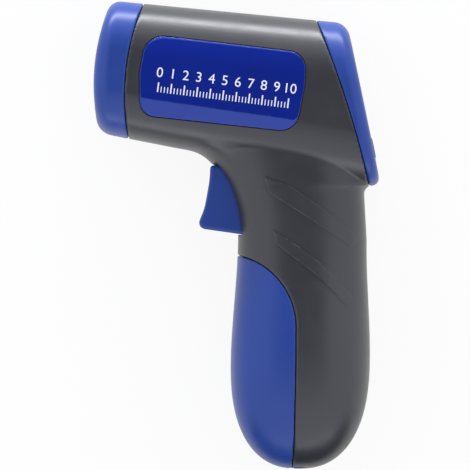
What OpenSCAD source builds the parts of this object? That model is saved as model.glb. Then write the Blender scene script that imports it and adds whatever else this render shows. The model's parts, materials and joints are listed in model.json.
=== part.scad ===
// Pistol-grip laser tachometer, lying on its right side with the nose towards -X.
// All sizes are in millimetres and degrees.

/* [Head] */
// Width of the head across its two sides
head_width = 42; // [40:0.5:46]
// Length of the head along its top edge
head_top_length = 79.6; // [77:0.1:86]
// Height of the nose between its top and bottom edges
nose_height = 43.9; // [43:0.1:47]
// Upward pitch of the nose
nose_pitch = 5.5; // [4:0.1:7]
// Slope of the underside of the head
underside_slope = 11.1; // [9.5:0.1:12]
// Rake of the display face
rear_rake = 11.7; // [10:0.1:13.5]
// Squareness of the head's cross-section
head_power = 3; // [2.6:0.1:3.6]
// Radius of the edge round the nose
nose_edge_radius = 5; // [3.5:0.1:6]
// Radius of the edge round the display face
rear_edge_radius = 4.2; // [3:0.1:5]
// Forward bow of the nose
nose_bow = 2.2; // [1:0.1:3]

/* [Grip] */
// Place of the grip's axis behind the middle of the part
grip_place = 22.15; // [20.5:0.1:23.5]
// Length of the grip from the head's underside to the foot
grip_length = 98; // [94:0.1:106]
// Width of the grip at its belly
grip_width = 42; // [40:0.5:46]
// Depth of the grip at its belly, front to back
grip_depth = 46.1; // [44.5:0.1:50]
// Width of the neck below the head
neck_width = 36; // [34:0.5:39]
// Depth of the neck, front to back
neck_depth = 42.6; // [42:0.1:45]
// Distance of the neck below the head's underside
neck_drop = 22.2; // [21.5:0.1:24]
// Distance of the belly below the head's underside
belly_drop = 62.2; // [59:0.1:66]
// Forward lean of the foot
grip_lean = 1; // [0:0.1:2]
// Radius of the fillet between the grip's back and the head
back_fillet = 3; // [2:0.1:4]
// Reach of the concave throat in front of the neck
throat_reach = 19.5; // [18:0.1:21]
// Squareness of the grip's cross-section
grip_power = 2.5; // [2.2:0.1:2.8]

/* [Housing] */
// Wall of the moulded shells
wall = 2; // [1.8:0.1:2.4]
// Gap along each outer seam
seam_gap = 0.5; // [0.3:0.05:0.7]
// Clearance between nested sleeves and lips
fit = 0.25; // [0.2:0.05:0.35]
// Wall of the sleeves and lips behind the seams
lip_wall = 1.3; // [1:0.1:1.6]
// Length of the sleeves and lips behind the seams
lip_length = 3.2; // [2.5:0.1:4.5]
// Depth of the slanted bands on the grip
band_depth = 0.4; // [0.3:0.05:0.5]
// Length of the nose ring along its underside
nose_ring_length = 11.2; // [9:0.1:12.5]
// Radius of the nose seam seen from the side
nose_seam_radius = 77.8; // [70:0.2:90]
// Length of the rear frame at its top
rear_frame_top = 10.1; // [9.5:0.1:12]
// Length of the rear frame at its bottom
rear_frame_foot = 4; // [3.5:0.1:5]
// Radius of the rear seam seen from the side
rear_seam_radius = 336; // [250:1:450]
// Thickness of the side label
label_thickness = 0.5; // [0.4:0.05:0.6]
// Depth of the label's face below the shell
label_sink = 0.1; // [0.05:0.05:0.2]

/* [Battery] */
// Width of the battery
battery_width = 26.5; // [25.5:0.1:26.6]
// Depth of the battery, front to back
battery_depth = 17.5; // [15.5:0.1:17.6]
// Height of the battery's case
battery_height = 46.2; // [44:0.1:46.6]
// Radius of the curve of the cover's seam
cover_radius = 24.5; // [23:0.1:25.5]
// Radius of the cover's hinge knuckles
knuckle_radius = 2.2; // [2:0.05:2.4]
// Radius of the cover's hinge pin
cover_pin_radius = 0.75; // [0.6:0.05:0.9]
// Swing of the open cover
cover_swing = 80; // [40:5:85]

/* [Trigger] */
// Width of the trigger
trigger_width = 15; // [13.5:0.1:15.5]
// Reach of the trigger's tip in front of the neck
trigger_reach = 12.5; // [11.5:0.1:13]
// Radius of the trigger's pin
trigger_pin_radius = 1.5; // [1.2:0.05:1.8]
// Swing of the pulled trigger
trigger_swing = 8; // [5:0.5:8.5]
// Outer radius of the return spring
spring_radius = 2.6; // [2.2:0.1:2.8]
// Wire radius of the return spring
spring_wire = 0.25; // [0.2:0.05:0.35]
// Number of turns of the return spring
spring_turns = 5; // [4:1:6]

/* [Display] */
// Width of the display window
window_width = 26; // [23:0.5:27]
// Height of the display window
window_height = 22; // [19:0.5:23]
// Thickness of the wall behind the display face
face_wall = 2.4; // [2.2:0.1:2.8]
// Radius of each key
key_radius = 3.5; // [3:0.1:3.8]
// Distance between neighbouring keys
key_pitch = 9.6; // [9.2:0.1:10]
// Travel of each key
key_travel = 0.8; // [0.5:0.1:1]
// Height of the keys above the face
key_rise = 0.3; // [0.2:0.05:0.6]

/* [Optics] */
// Clearance round the plate in the nose
panel_fit = 0.45; // [0.3:0.05:0.8]
// Ledge of the nose ring that the plate lies against
panel_ledge = 3; // [2.6:0.1:4]
// Thickness of that plate
panel_thickness = 2; // [1.6:0.1:2.6]
// Depth of that plate behind the nose
panel_depth = 4; // [3.5:0.1:5]
// Radius of the receiver lens
lens_radius = 7; // [6:0.1:7.2]
// Bore clearance round the lens
lens_fit = 0.2; // [0.1:0.05:0.3]
// Wall of the lens barrel
barrel_wall = 0.9; // [0.7:0.1:1]
// Length of the lens barrel
barrel_length = 20; // [17:0.5:22]
// Radius of the laser module
laser_radius = 3.75; // [3:0.05:3.8]

/* [Boards] */
// Thickness of the circuit boards
board_thickness = 1.6; // [1:0.1:2]
// Thickness of the display glass
lcd_thickness = 2.6; // [2:0.1:3]
// Thickness of the frame behind the display glass
lcd_frame_thickness = 2.4; // [2:0.1:3]
// Radius of the battery leads
lead_radius = 0.6; // [0.45:0.05:0.7]

/* [Screws] */
// Radius of the shell screws' shanks
screw_radius = 1.25; // [1:0.05:1.4]
// Radius of the shell screws' heads
screw_head_radius = 2.4; // [2:0.1:2.5]
// Height of the shell screws' heads
screw_head_height = 1.8; // [1.4:0.1:2]
// Length of the shell screws' shanks
screw_length = 15; // [12:0.5:16]
// Radius of the bosses that take the shell screws
boss_radius = 3.6; // [3.4:0.1:4]

/* [Hidden] */

// Working values
eps = 0.02;
far = 200;
round_facets = 48;
head_points = 40;
grip_points = 36;
edge_steps = 4;
cap_power = 2.4;
cap_steps = 8;
belly_steps = 4;
throat_steps = 9;
fillet_steps = 4;
flat_gain = 1.012;

// Colours
blue = [0.16, 0.26, 0.59];
grey = [0.23, 0.23, 0.26];
black = [0.08, 0.08, 0.09];
steel = [0.72, 0.73, 0.75];
green = [0.08, 0.33, 0.18];
glass = [0.75, 0.85, 0.9];

// Corners of the head seen from the side
nose_high = [-42.3, 77.77];
nose_axis = [cos(nose_pitch), -sin(nose_pitch)];
nose_up = [sin(nose_pitch), cos(nose_pitch)];
rear_axis = [cos(rear_rake), sin(rear_rake)];
rear_up = [-sin(rear_rake), cos(rear_rake)];
underside_axis = [cos(underside_slope), -sin(underside_slope)];
nose_low = nose_high - nose_height*nose_up;
rear_high = nose_high + head_top_length*nose_axis;
rear_height = cross(rear_high - nose_low, underside_axis)/cross(rear_up, underside_axis);
rear_low = rear_high - rear_height*rear_up;
nose_middle = (nose_high + nose_low)/2;
rear_middle = (rear_high + rear_low)/2;
head_length = norm(rear_middle - nose_middle);

// Levels of the grip, measured from the head's underside on the grip's axis
grip_top = underside_at(grip_place);
neck_level = grip_top - neck_drop;
belly_level = grip_top - belly_drop;
foot_level = grip_top - grip_length;
neck_front = grip_place - neck_depth/2;
throat_start = neck_front - throat_reach;
throat_height = underside_at(throat_start) - neck_level;
throat_rise = 12;
back_slope = 0.055;
back_fillet_level = underside_at(grip_place + neck_depth/2) - back_fillet;

// Seams
nose_seam_foot = nose_low + nose_ring_length*underside_axis;
nose_seam_drop = 14;
nose_seam_mid = nose_seam_foot + [
    sqrt(nose_seam_radius^2 - nose_seam_drop^2), nose_seam_drop];
rear_seam_high = rear_high - rear_frame_top*nose_axis;
rear_seam_low = rear_low - rear_frame_foot*underside_axis;
rear_seam_mid = arc_middle(rear_seam_high, rear_seam_low, rear_seam_radius);
cover_seam = grip_place - 1.5;
cover_arc_level = grip_top - 51.15;
cover_arc_mid = [cover_seam - cover_radius, cover_arc_level];
hinge = [cover_seam, foot_level + knuckle_radius + 0.05];
knuckle_inner = 3;
knuckle_gap = 0.25;
knuckle_outer = 9.2;
cover_pin_length = 14;

// Slanted bands on the grip, measured from the neck's front
band_a = [[9.2, 21.2], [13.5, 19.5], [18.6, 17.4], [24.9, 13.1], [30, 9.6], [33.4, 7], [41, 0.5],
    [38, -2.5], [28.7, 3.9], [24.1, 7.2], [18.6, 10.6], [10.9, 15.5]];
band_b = [[12.3, 3.4], [22.4, -3.3], [27.9, -7.6], [32.6, -12.2], [39, -19.5],
    [36, -21.5], [27.9, -13], [23.7, -9.3], [17.3, -4.6], [13.1, -1.2]];

// Label corners along and below the head's top edge, each with its own radius
label_corners = [[[18.9, 15.2], 5], [[62.5, 16.4], 5.3], [[59, 22.1], 9], [[62.3, 32.6], 5],
    [[19.6, 31.9], 5.2], [[22.4, 23.2], 9]];

// Screws that join the shells
screw_places = [nose_high + 34*nose_axis - 8*nose_up, nose_high + 60*nose_axis - 7.8*nose_up,
    nose_low + 22*underside_axis + 7*nose_up, [grip_place + 14.5, neck_level + 3.1],
    [grip_place + 12, foot_level + 20]];
screw_seat = -8;
screw_hole = screw_radius + 0.15;
screw_well = screw_head_radius + 0.25;
boss_bore_depth = 9;

// Trigger, measured from the front of the neck
trigger_home = [neck_front, neck_level];
pivot = trigger_home + [-0.1, 26.2];
trigger_fit = 0.4;
trigger_rear = 5.4;
trigger_foot = 1.9;
trigger_boss = 3.6;
pin_length = 22;
pin_fit = 0.1;
plunger_level = trigger_home.y + 18;
plunger_radius = 1.2;
plunger_start = trigger_home.x + trigger_rear + 0.3;
plunger_length = 3.4;
switch_start = plunger_start + 2.6;
switch_depth = 6.4;
switch_height = 12.8;
switch_width = 6;
switch_gap = 0.1;
spring_level = trigger_home.y + 7.4;
spring_start = trigger_home.x + trigger_rear;
spring_end = spring_start + 7.8;
spring_rib = 1.6;

// Battery and its fittings
battery_fit = 0.3;
battery_back = cover_seam + 4.3;
battery_front = battery_back - battery_depth;
battery_low = foot_level + 20.5;
battery_high = battery_low + battery_height;
terminal_pitch = 12.7;
terminal_height = 2.6;
terminal_small = 2.9;
terminal_large = 4.4;
snap_height = 4.4;
snap_depth = 11.5;
snap_width = 25;
snap_middle = (battery_front + battery_back)/2;
tray_wall = 1.5;
tray_high = battery_high + snap_height + 1;
shelf_front = battery_front + 2;

// Optics, measured behind the nose and from its axis
panel_radius = head_width/2 - wall - fit - lip_wall - panel_fit;
aperture_radius = panel_radius - panel_ledge;
lens_level = -3.6;
laser_level = 8.9;
barrel_start = panel_depth + panel_thickness;
barrel_radius = lens_radius + lens_fit + barrel_wall;
optics_board_start = barrel_start + barrel_length;
optics_board_height = 28;
optics_board_width = 26;
lens_thickness = 4;
lens_gap = 0.3;
lens_curve = 16;
laser_length = barrel_length - 0.4;
beam_radius = 2.2;
diode_radius = 2.5;
diode_length = 4;
optics_screw_place = (panel_radius + aperture_radius)/2;
optics_screw_radius = 0.8;
optics_screw_head = 1.4;
optics_screw_depth = 2;

// Display, measured from the middle of the display face
window_middle = 6;
window_thickness = 1.4;
window_ledge = 1.5;
window_fit = 0.15;
window_corner = 2;
lcd_start = face_wall + 0.1;
lcd_width = window_width;
lcd_height = window_height + 2;
lcd_frame_start = lcd_start + lcd_thickness;
board_start = lcd_frame_start + lcd_frame_thickness;
board_high = 18.5;
board_low = -17.7;
board_width = 24.8;
key_level = -14.3;
key_fit = 0.2;
key_flange = 0.5;
key_flange_thickness = 1;
key_flange_gap = 0.15;
keypad_high = -10.5;
keypad_base = 1.2;
keypad_width = 25;
dome_radius = 2.8;
board_screw_level = -8.2;
board_screw_place = 11;
board_screw_radius = 0.9;
board_screw_head = 1.7;
board_screw_head_height = 1.2;
board_screw_length = 5;
board_boss_radius = 2.1;
chip_size = 10;
chip_thickness = 1.5;
chip_level = 5;

// Leads and cable
lead_spread = 4;
lead_sides = 8;
cable_width = 10;
cable_thickness = 0.5;
cable_level_nose = 8;
cable_level_rear = 10;

// Height of the underside of the head at a place along it
function underside_at(x) = nose_low.y - (x - nose_low.x)*tan(underside_slope);

// Value between two others
function between(a, b, t) = a + (b - a)*t;

// Power that keeps the sign of its base
function signed_power(v, e) = sign(v)*pow(abs(v), e);

// Smooth step from 0 to 1
function smooth(t) = t*t*(3 - 2*t);

// Centre of an arc through two points that bows to the right of the line between them
function arc_middle(high, low, r) = let (half = (low - high)/2, reach = sqrt(r*r - half*half))
    (high + low)/2 + reach*[half.y, -half.x]/norm(half);

// Points along an arc
function arc_points(mid, r, from, to, n) = [for (k = [0:n]) let (a = between(from, to, k/n))
    mid + r*[cos(a), sin(a)]];

// Points of the nose's and the display face's own frames
function nose_point(a, v) = nose_middle + a*nose_axis + v*nose_up;
function rear_point(a, v) = rear_middle - a*rear_axis + v*rear_up;

// One section of the head, at a share of its length, taken in by a distance
function head_ring(share, take, bow) = let (
    low = between(nose_low, rear_low, share),
    high = between(nose_high, rear_high, share),
    up = (high - low)/norm(high - low),
    half_height = norm(high - low)/2 - take,
    half_width = head_width/2 - take)
    [for (i = [0:head_points - 1]) let (
        t = 360*(i + 0.5)/head_points,
        c = signed_power(cos(t), 2/head_power),
        s = signed_power(sin(t), 2/head_power),
        p = (low + high)/2 + half_height*c*up - bow*(1 - c*c)*nose_axis)
        [p.x, p.y, half_width*max(-1, min(1, flat_gain*s))]];

// Sections that round one end of the head
function head_end(from, towards, radius, inset, ends, bow) = [
    for (k = [0:edge_steps]) let (a = 90*k/edge_steps)
        each head_ring(from + towards*(ends + radius*(1 - sin(a)))/head_length,
            inset + radius*(1 - cos(a)), bow)];

// Half depth, half width and middle of the grip at a level
function cap_share(y) = y > belly_level ? 1 :
    pow(max(0, 1 - pow((belly_level - y)/(belly_level - foot_level), cap_power)), 1/cap_power);
function neck_share(y) = y < belly_level ? 0 :
    smooth(min(1, (y - belly_level)/(neck_level - belly_level)));
function half_depth(y) = cap_share(y)*between(grip_depth, neck_depth, neck_share(y))/2;
function half_width(y) = cap_share(y)*between(grip_width, neck_width, neck_share(y))/2;
function grip_middle(y) = grip_place + (y - neck_level)*tan(grip_lean);
function grip_front(y) = y < neck_level ? grip_middle(y) - half_depth(y) :
    throat_start + throat_reach*sqrt(max(0, 1 - pow((y - neck_level)/throat_height, 2)));
function grip_back(y) = y < neck_level ? grip_middle(y) + half_depth(y) :
    grip_place + neck_depth/2 - back_slope*(y - neck_level) + back_flare(y - back_fillet_level);
function back_flare(rise) = rise < 0 ? 0 :
    back_fillet - sqrt(back_fillet^2 - min(0.99*back_fillet, rise)^2);

// One section of the grip at a level, taken in by a distance
function grip_ring(y, take) = let (
    front = grip_front(y) + take,
    back = grip_back(y) - take,
    wide = half_width(y) - take)
    [for (i = [0:grip_points - 1]) let (
        t = 360*(i + 0.5)/grip_points,
        c = signed_power(cos(t), 2/grip_power),
        s = signed_power(sin(t), 2/grip_power))
        [(front + back)/2 + c*(back - front)/2, y, s*wide]];

// Levels of the grip's sections from the foot to inside the head
cap_levels = [for (k = [0:cap_steps]) belly_level
    - (belly_level - foot_level)*cos(90*k/(cap_steps + 1))];
belly_levels = [for (k = [1:belly_steps]) between(belly_level, neck_level, k/(belly_steps + 1))];
fillet_levels = [for (k = [0:fillet_steps]) back_fillet_level
    + 0.99*back_fillet*sin(90*k/fillet_steps)];
throat_curve = [for (k = [0:throat_steps]) neck_level + throat_height*sin(90*k/throat_steps)];
throat_levels = concat([for (y = throat_curve) if (y < back_fillet_level - 0.5) y], fillet_levels,
    [for (y = throat_curve) if (y > back_fillet_level + back_fillet + 0.5) y]);
grip_levels = concat(cap_levels, belly_levels, throat_levels,
    [neck_level + throat_height + throat_rise]);

// Solid between points that form a convex cloud
module cloud(points) {
    hull()
        polyhedron(points = points, faces = [[for (i = [0:len(points) - 1]) i]]);
}

// Head taken in by a distance at its sides and another at its ends
module head_solid(inset, ends) {
    cloud(concat(
        head_end(0, 1, max(0.6, nose_edge_radius - inset), inset, ends, nose_bow),
        head_end(1, -1, max(0.6, rear_edge_radius - inset), inset, ends, 0)));
}

// Grip taken in by a distance
module grip_solid(inset) {
    foot = max(0, inset);
    for (k = [0:len(grip_levels) - 2])
        if (grip_levels[k + 1] > foot_level + foot)
            cloud(concat(
                grip_ring(max(grip_levels[k], foot_level + foot), min(inset,
                    half_width(max(grip_levels[k], foot_level + foot)) - 0.3)),
                grip_ring(grip_levels[k + 1], inset)));
}

// Whole outer form taken in by a distance
module form(inset) {
    head_solid(inset, inset);
    grip_solid(inset);
}

// Prism through the full width over a plane outline
module across() {
    linear_extrude(height = far, center = true)
        children();
}

// Plane regions on either side of the nose seam
module inside_nose(grow) {
    arc = arc_points(nose_seam_mid, nose_seam_radius + grow, 150, 196, 16);
    polygon(concat(arc, [[arc[16].x, -far], [far, -far], [far, far], [arc[0].x, far]]));
}

module outside_nose(grow) {
    arc = arc_points(nose_seam_mid, nose_seam_radius + grow, 150, 196, 16);
    polygon(concat(arc, [[-far, arc[16].y], [-far, arc[0].y]]));
}

// Plane regions on either side of the rear seam
module inside_rear(grow) {
    arc = arc_points(rear_seam_mid, rear_seam_radius + grow, 10, 25, 16);
    polygon(concat(arc, [[-far, far], [-far, -far], [arc[0].x + far/10, -far]]));
}

module outside_rear(grow) {
    arc = arc_points(rear_seam_mid, rear_seam_radius + grow, 10, 25, 16);
    polygon(concat(arc, [[far, arc[16].y], [far, arc[0].y]]));
}

// Plane region of the battery cover
module cover_area(grow) {
    arc = arc_points(cover_arc_mid, cover_radius + grow, 0, 90, 16);
    polygon(concat(arc, [[-far, arc[16].y], [-far, -far], [arc[0].x, -far]]));
}

// Band of the grip's side
module band(points) {
    translate([neck_front, neck_level])
        polygon(points);
}

// Outline of the label
module label_area(grow) {
    hull()
        for (c = label_corners)
            translate(nose_high + c[0].x*nose_axis - c[0].y*nose_up)
                circle(r = c[1] + grow, $fn = round_facets);
}

// Trigger's blade
module trigger_blade() {
    translate(trigger_home)
        polygon([[-8.4, 24.4], [-8.55, 22.2], [-8.85, 20], [-9.2, 17.9], [-9.6, 15.9],
            [-10.15, 13.3], [-10.8, 10.6], [-trigger_reach + 0.7, 8.6],
            [-trigger_reach + 0.1, 6.6], [-trigger_reach, 5.4],
            [-trigger_reach + 0.45, 4.3], [-trigger_reach + 1.4, 3.6],
            [trigger_rear, 1.2], [trigger_rear, 24.4]]);
}

// Trigger's outline, with a clearance round it
module trigger_outline(grow) {
    offset(delta = grow) {
        trigger_blade();
        translate(pivot)
            circle(r = trigger_boss, $fn = round_facets);
    }
}

// Trigger's outline over its whole swing
module trigger_sweep(grow) {
    for (a = [0:trigger_swing/3:trigger_swing])
        translate(pivot)
            rotate([0, 0, a])
                translate(-pivot)
                    trigger_outline(grow);
}

// Half space on one side of the parting plane
module side(sign) {
    translate([-far/2, -far/2, sign > 0 ? 0 : -far])
        cube([far, far, far]);
}

// Turned cylinder along the nose's axis
module nose_rod(start, length, level, out, radius) {
    at = nose_point(start, level);
    translate([at.x, at.y, out])
        rotate([0, 0, -nose_pitch])
            rotate([0, 90, 0])
                cylinder(r = radius, h = length, $fn = round_facets);
}

// Cylinder and block inwards from the display face
module rear_rod(start, length, level, out, radius) {
    at = rear_point(start, level);
    translate([at.x, at.y, out])
        rotate([0, 0, rear_rake])
            rotate([0, -90, 0])
                cylinder(r = radius, h = length, $fn = round_facets);
}

module rear_block(start, length, low, high, width) {
    at = rear_point(start, low);
    translate([at.x, at.y, 0])
        rotate([0, 0, rear_rake])
            translate([-length, 0, -width/2])
                cube([length, high - low, width]);
}

// Block with rounded corners inwards from the display face
module rear_plate(start, length, middle, height, width, corner) {
    at = rear_point(start, middle);
    translate([at.x, at.y, 0])
        rotate([0, 0, rear_rake])
            rotate([0, -90, 0])
                linear_extrude(height = length)
                    polygon(rounded(width, height, corner, 5));
}

// Points of a rectangle with rounded corners
function rounded(w, h, r, n) = [for (q = [0:3], k = [0:n]) let (
    a = 90*q + 90*k/n,
    mid = [(q == 0 || q == 3 ? 1 : -1)*(w/2 - r), (q < 2 ? 1 : -1)*(h/2 - r)])
    mid + r*[cos(a), sin(a)]];

// Block given by its two corners
module block(low, high) {
    translate(low)
        cube(high - low);
}

// Features inside one shell half
module shell_inside(sign) {
    intersection() {
        form(wall/2);
        side(sign);
        union() {
            for (p = screw_places)
                translate([p.x, p.y, sign > 0 ? eps : -far])
                    cylinder(r = boss_radius, h = far, $fn = 24);
            translate([pivot.x, pivot.y, sign > 0 ? trigger_width/2 + trigger_fit : -far])
                cylinder(r = trigger_boss, h = far - trigger_width/2 - trigger_fit, $fn = 24);
            block([switch_start + 0.8, plunger_level - 4.8, sign > 0 ? switch_width/2 + switch_gap : -far],
                [switch_start + switch_depth - 0.8, plunger_level + 4.8,
                    sign > 0 ? far : -switch_width/2 - switch_gap]);
            block([spring_end, spring_level - 3.6, sign > 0 ? eps : -far],
                [spring_end + spring_rib, spring_level + 3.6, sign > 0 ? far : -eps]);
        }
    }
}

// One half of the grey housing
module shell_half(sign) {
    difference() {
        union() {
            difference() {
                intersection() {
                    union() {
                        difference() {
                            union() {
                                form(0);
                                intersection() {
                                    grip_solid(-band_depth);
                                    across()
                                        union() {
                                            band(band_a);
                                            band(band_b);
                                        }
                                }
                            }
                            form(wall);
                        }
                    }
                    side(sign);
                    across()
                        difference() {
                            intersection() {
                                inside_nose(-seam_gap/2);
                                inside_rear(-seam_gap/2);
                            }
                            cover_area(seam_gap/2);
                        }
                }
                translate([0, 0, -trigger_width/2 - trigger_fit])
                    linear_extrude(height = trigger_width + 2*trigger_fit)
                        trigger_sweep(trigger_fit);
            }
            cover_lip(sign);
            shell_inside(sign);
            hinge_lug(sign);
        }
        if (sign > 0)
            label_recess();
        shell_bores(sign);
        hinge_clearance();
    }
}

// Room for the battery with its clearance
module battery_room() {
    block([battery_front - battery_fit, battery_low - battery_fit, -battery_width/2 - battery_fit],
        [battery_back + battery_fit, battery_high + battery_fit, battery_width/2 + battery_fit]);
}

// Lip of a shell half behind the cover's edge
module cover_lip(sign) {
    intersection() {
        difference() {
            grip_solid(wall + fit);
            grip_solid(wall + fit + lip_wall);
            battery_room();
        }
        side(sign);
        across()
            difference() {
                cover_area(lip_length);
                cover_area(-lip_length);
            }
        across()
            translate([neck_front - far/4, hinge.y + 3*knuckle_radius])
                square([far, neck_level - trigger_foot - hinge.y - 3*knuckle_radius]);
    }
    intersection() {
        difference() {
            grip_solid(wall/2);
            grip_solid(wall + fit + lip_wall);
            battery_room();
        }
        side(sign);
        across()
            difference() {
                cover_area(lip_length - fit);
                cover_area(seam_gap/2 + eps);
            }
        across()
            translate([neck_front - far/4, hinge.y + 3*knuckle_radius])
                square([far, neck_level - trigger_foot - hinge.y - 3*knuckle_radius]);
    }
}

// One half's share of the middle knuckle of the cover's hinge
module hinge_lug(sign) {
    intersection() {
        form(0.2);
        side(sign);
        union() {
            translate([hinge.x, hinge.y, -knuckle_inner])
                cylinder(r = knuckle_radius, h = 2*knuckle_inner, $fn = 24);
            block([hinge.x, foot_level, -knuckle_inner],
                [hinge.x + 3.5*knuckle_radius, hinge.y + knuckle_radius, knuckle_inner]);
        }
    }
}

// Room round the hinge for the cover's knuckles
module hinge_clearance() {
    for (s = [-1, 1])
        translate([hinge.x, hinge.y, s > 0 ? knuckle_inner + eps : -knuckle_outer - knuckle_gap])
            cylinder(r = knuckle_radius + 0.35,
                h = knuckle_outer + knuckle_gap - knuckle_inner - eps, $fn = 24);
    translate([hinge.x, hinge.y, 0])
        cylinder(r = cover_pin_radius + pin_fit, h = cover_pin_length + 1, center = true, $fn = 24);
}

// Recess for the label
module label_recess() {
    difference() {
        linear_extrude(height = far)
            label_area(window_fit);
        head_solid(label_thickness + label_sink, 0);
    }
}

// Holes of one shell half
module shell_bores(sign) {
    for (p = screw_places)
        translate([p.x, p.y, 0])
            if (sign > 0) {
                translate([0, 0, -1])
                    cylinder(r = screw_hole, h = boss_bore_depth + 1, $fn = 24);
            } else {
                translate([0, 0, screw_seat - eps])
                    cylinder(r = screw_hole, h = far, $fn = 24);
                translate([0, 0, screw_seat - far])
                    cylinder(r = screw_well, h = far, $fn = 24);
            }
    translate([pivot.x, pivot.y, 0])
        cylinder(r = trigger_pin_radius + pin_fit, h = pin_length + 0.4, center = true, $fn = 24);
}

// Left half of the housing
module left_shell() {
    color(grey)
        shell_half(1);
}

// Right half of the housing
module right_shell() {
    color(grey)
        shell_half(-1);
}

// Blue ring round the nose
module nose_bezel() {
    at = nose_point(panel_depth, 0);
    color(blue)
        difference() {
            union() {
                intersection() {
                    head_solid(0, 0);
                    across()
                        outside_nose(seam_gap/2);
                }
                intersection() {
                    head_solid(wall + fit, wall);
                    across()
                        difference() {
                            inside_nose(lip_length);
                            inside_nose(-lip_length);
                        }
                }
            }
            intersection() {
                head_solid(wall + fit + lip_wall, 0);
                translate([at.x, at.y, 0])
                    rotate([0, 0, -nose_pitch])
                        translate([0, -far/2, -far/2])
                            cube([far, far, far]);
            }
            nose_rod(-far/4, far/2, 0, 0, aperture_radius);
            for (s = [-1, 1])
                nose_rod(panel_depth - optics_screw_depth - 0.3, far/10, 0, s*optics_screw_place,
                    optics_screw_radius + 0.1);
        }
}

// Blue frame round the display face
module rear_bezel() {
    color(blue)
        difference() {
            union() {
                difference() {
                    union() {
                        intersection() {
                            head_solid(0, 0);
                            across()
                                outside_rear(seam_gap/2);
                        }
                        intersection() {
                            head_solid(wall + fit, wall);
                            across()
                                difference() {
                                    inside_rear(lip_length);
                                    inside_rear(-lip_length);
                                }
                        }
                    }
                    intersection() {
                        head_solid(wall + fit + lip_wall, 0);
                        rear_block(face_wall, far, -far/2, far/2, far);
                    }
                }
                for (s = [-1, 1])
                    rear_rod(face_wall/2, board_start - face_wall/2, board_screw_level,
                        s*board_screw_place, board_boss_radius);
            }
            rear_plate(-far/4, far/4 + window_ledge, window_middle, window_height, window_width,
                window_corner);
            rear_plate(-far/4, far/2, window_middle, window_height - 3, window_width - 3,
                window_corner/2);
            for (k = [-1:1])
                rear_rod(-far/10, far/5, key_level, k*key_pitch, key_radius + key_fit);
            for (s = [-1, 1])
                rear_rod(face_wall, far, board_screw_level, s*board_screw_place,
                    board_screw_radius + 0.1);
        }
}

// Blue cover of the battery space
module battery_cover() {
    color(blue)
        difference() {
            union() {
                intersection() {
                    difference() {
                        grip_solid(0);
                        grip_solid(wall);
                    }
                    across()
                        cover_area(-seam_gap/2);
                }
                intersection() {
                    grip_solid(0);
                    for (s = [-1, 1])
                        translate([hinge.x, hinge.y,
                            s > 0 ? knuckle_inner + knuckle_gap : -knuckle_outer])
                            linear_extrude(height = knuckle_outer - knuckle_inner - knuckle_gap)
                                union() {
                                    circle(r = knuckle_radius, $fn = 24);
                                    translate([-2.5*knuckle_radius, -3*knuckle_radius])
                                        square([2.5*knuckle_radius, 3*knuckle_radius + 0.8]);
                                }
                }
            }
            translate([hinge.x - knuckle_radius - 0.35, foot_level - 1, -knuckle_inner - knuckle_gap])
                cube([far, knuckle_radius*3, 2*(knuckle_inner + knuckle_gap)]);
            translate([hinge.x, hinge.y, 0])
                cylinder(r = cover_pin_radius + pin_fit, h = cover_pin_length + 1, center = true,
                    $fn = 24);
        }
}

// Pin of the cover's hinge
module cover_hinge_pin() {
    color(steel)
        translate([hinge.x, hinge.y, 0])
            cylinder(r = cover_pin_radius, h = cover_pin_length, center = true, $fn = round_facets);
}

// Label set in the head's left side
module side_label() {
    color(blue)
        intersection() {
            difference() {
                head_solid(label_sink, 0);
                head_solid(label_sink + label_thickness - eps, 0);
            }
            linear_extrude(height = far)
                label_area(0);
        }
}

// Screws that join the two halves
module shell_screws() {
    color(steel)
        for (p = screw_places)
            translate([p.x, p.y, screw_seat])
                union() {
                    translate([0, 0, -screw_head_height])
                        cylinder(r = screw_head_radius, h = screw_head_height, $fn = round_facets);
                    translate([0, 0, -eps])
                        cylinder(r = screw_radius, h = screw_length + eps, $fn = round_facets);
                }
}

// Trigger with its pivot bore and spring spigot
module trigger() {
    color(blue)
        difference() {
            union() {
                translate([0, 0, -trigger_width/2])
                    linear_extrude(height = trigger_width)
                        trigger_blade();
                translate([pivot.x, pivot.y, 0])
                    cylinder(r = trigger_boss, h = trigger_width, center = true, $fn = round_facets);
                translate([spring_start - 1, spring_level, 0])
                    rotate([0, 90, 0])
                        cylinder(r = spring_radius - 2*spring_wire - 0.3, h = 2.5, $fn = round_facets);
            }
            translate([pivot.x, pivot.y, 0])
                cylinder(r = trigger_pin_radius + pin_fit, h = far, center = true, $fn = round_facets);
        }
}

// Pin that the trigger turns on
module trigger_pin() {
    color(steel)
        translate([pivot.x, pivot.y, 0])
            cylinder(r = trigger_pin_radius, h = pin_length, center = true, $fn = round_facets);
}

// Points of a helix along X
function helix(turns, radius, length, steps) = [for (k = [0:turns*steps]) let (a = 360*k/steps)
    [length*k/(turns*steps), radius*cos(a), radius*sin(a)]];

// Direction of a path at one of its points
function heading(path, k) = let (n = len(path) - 1,
    d = path[min(n, k + 1)] - path[max(0, k - 1)])
    d/norm(d);

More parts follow.
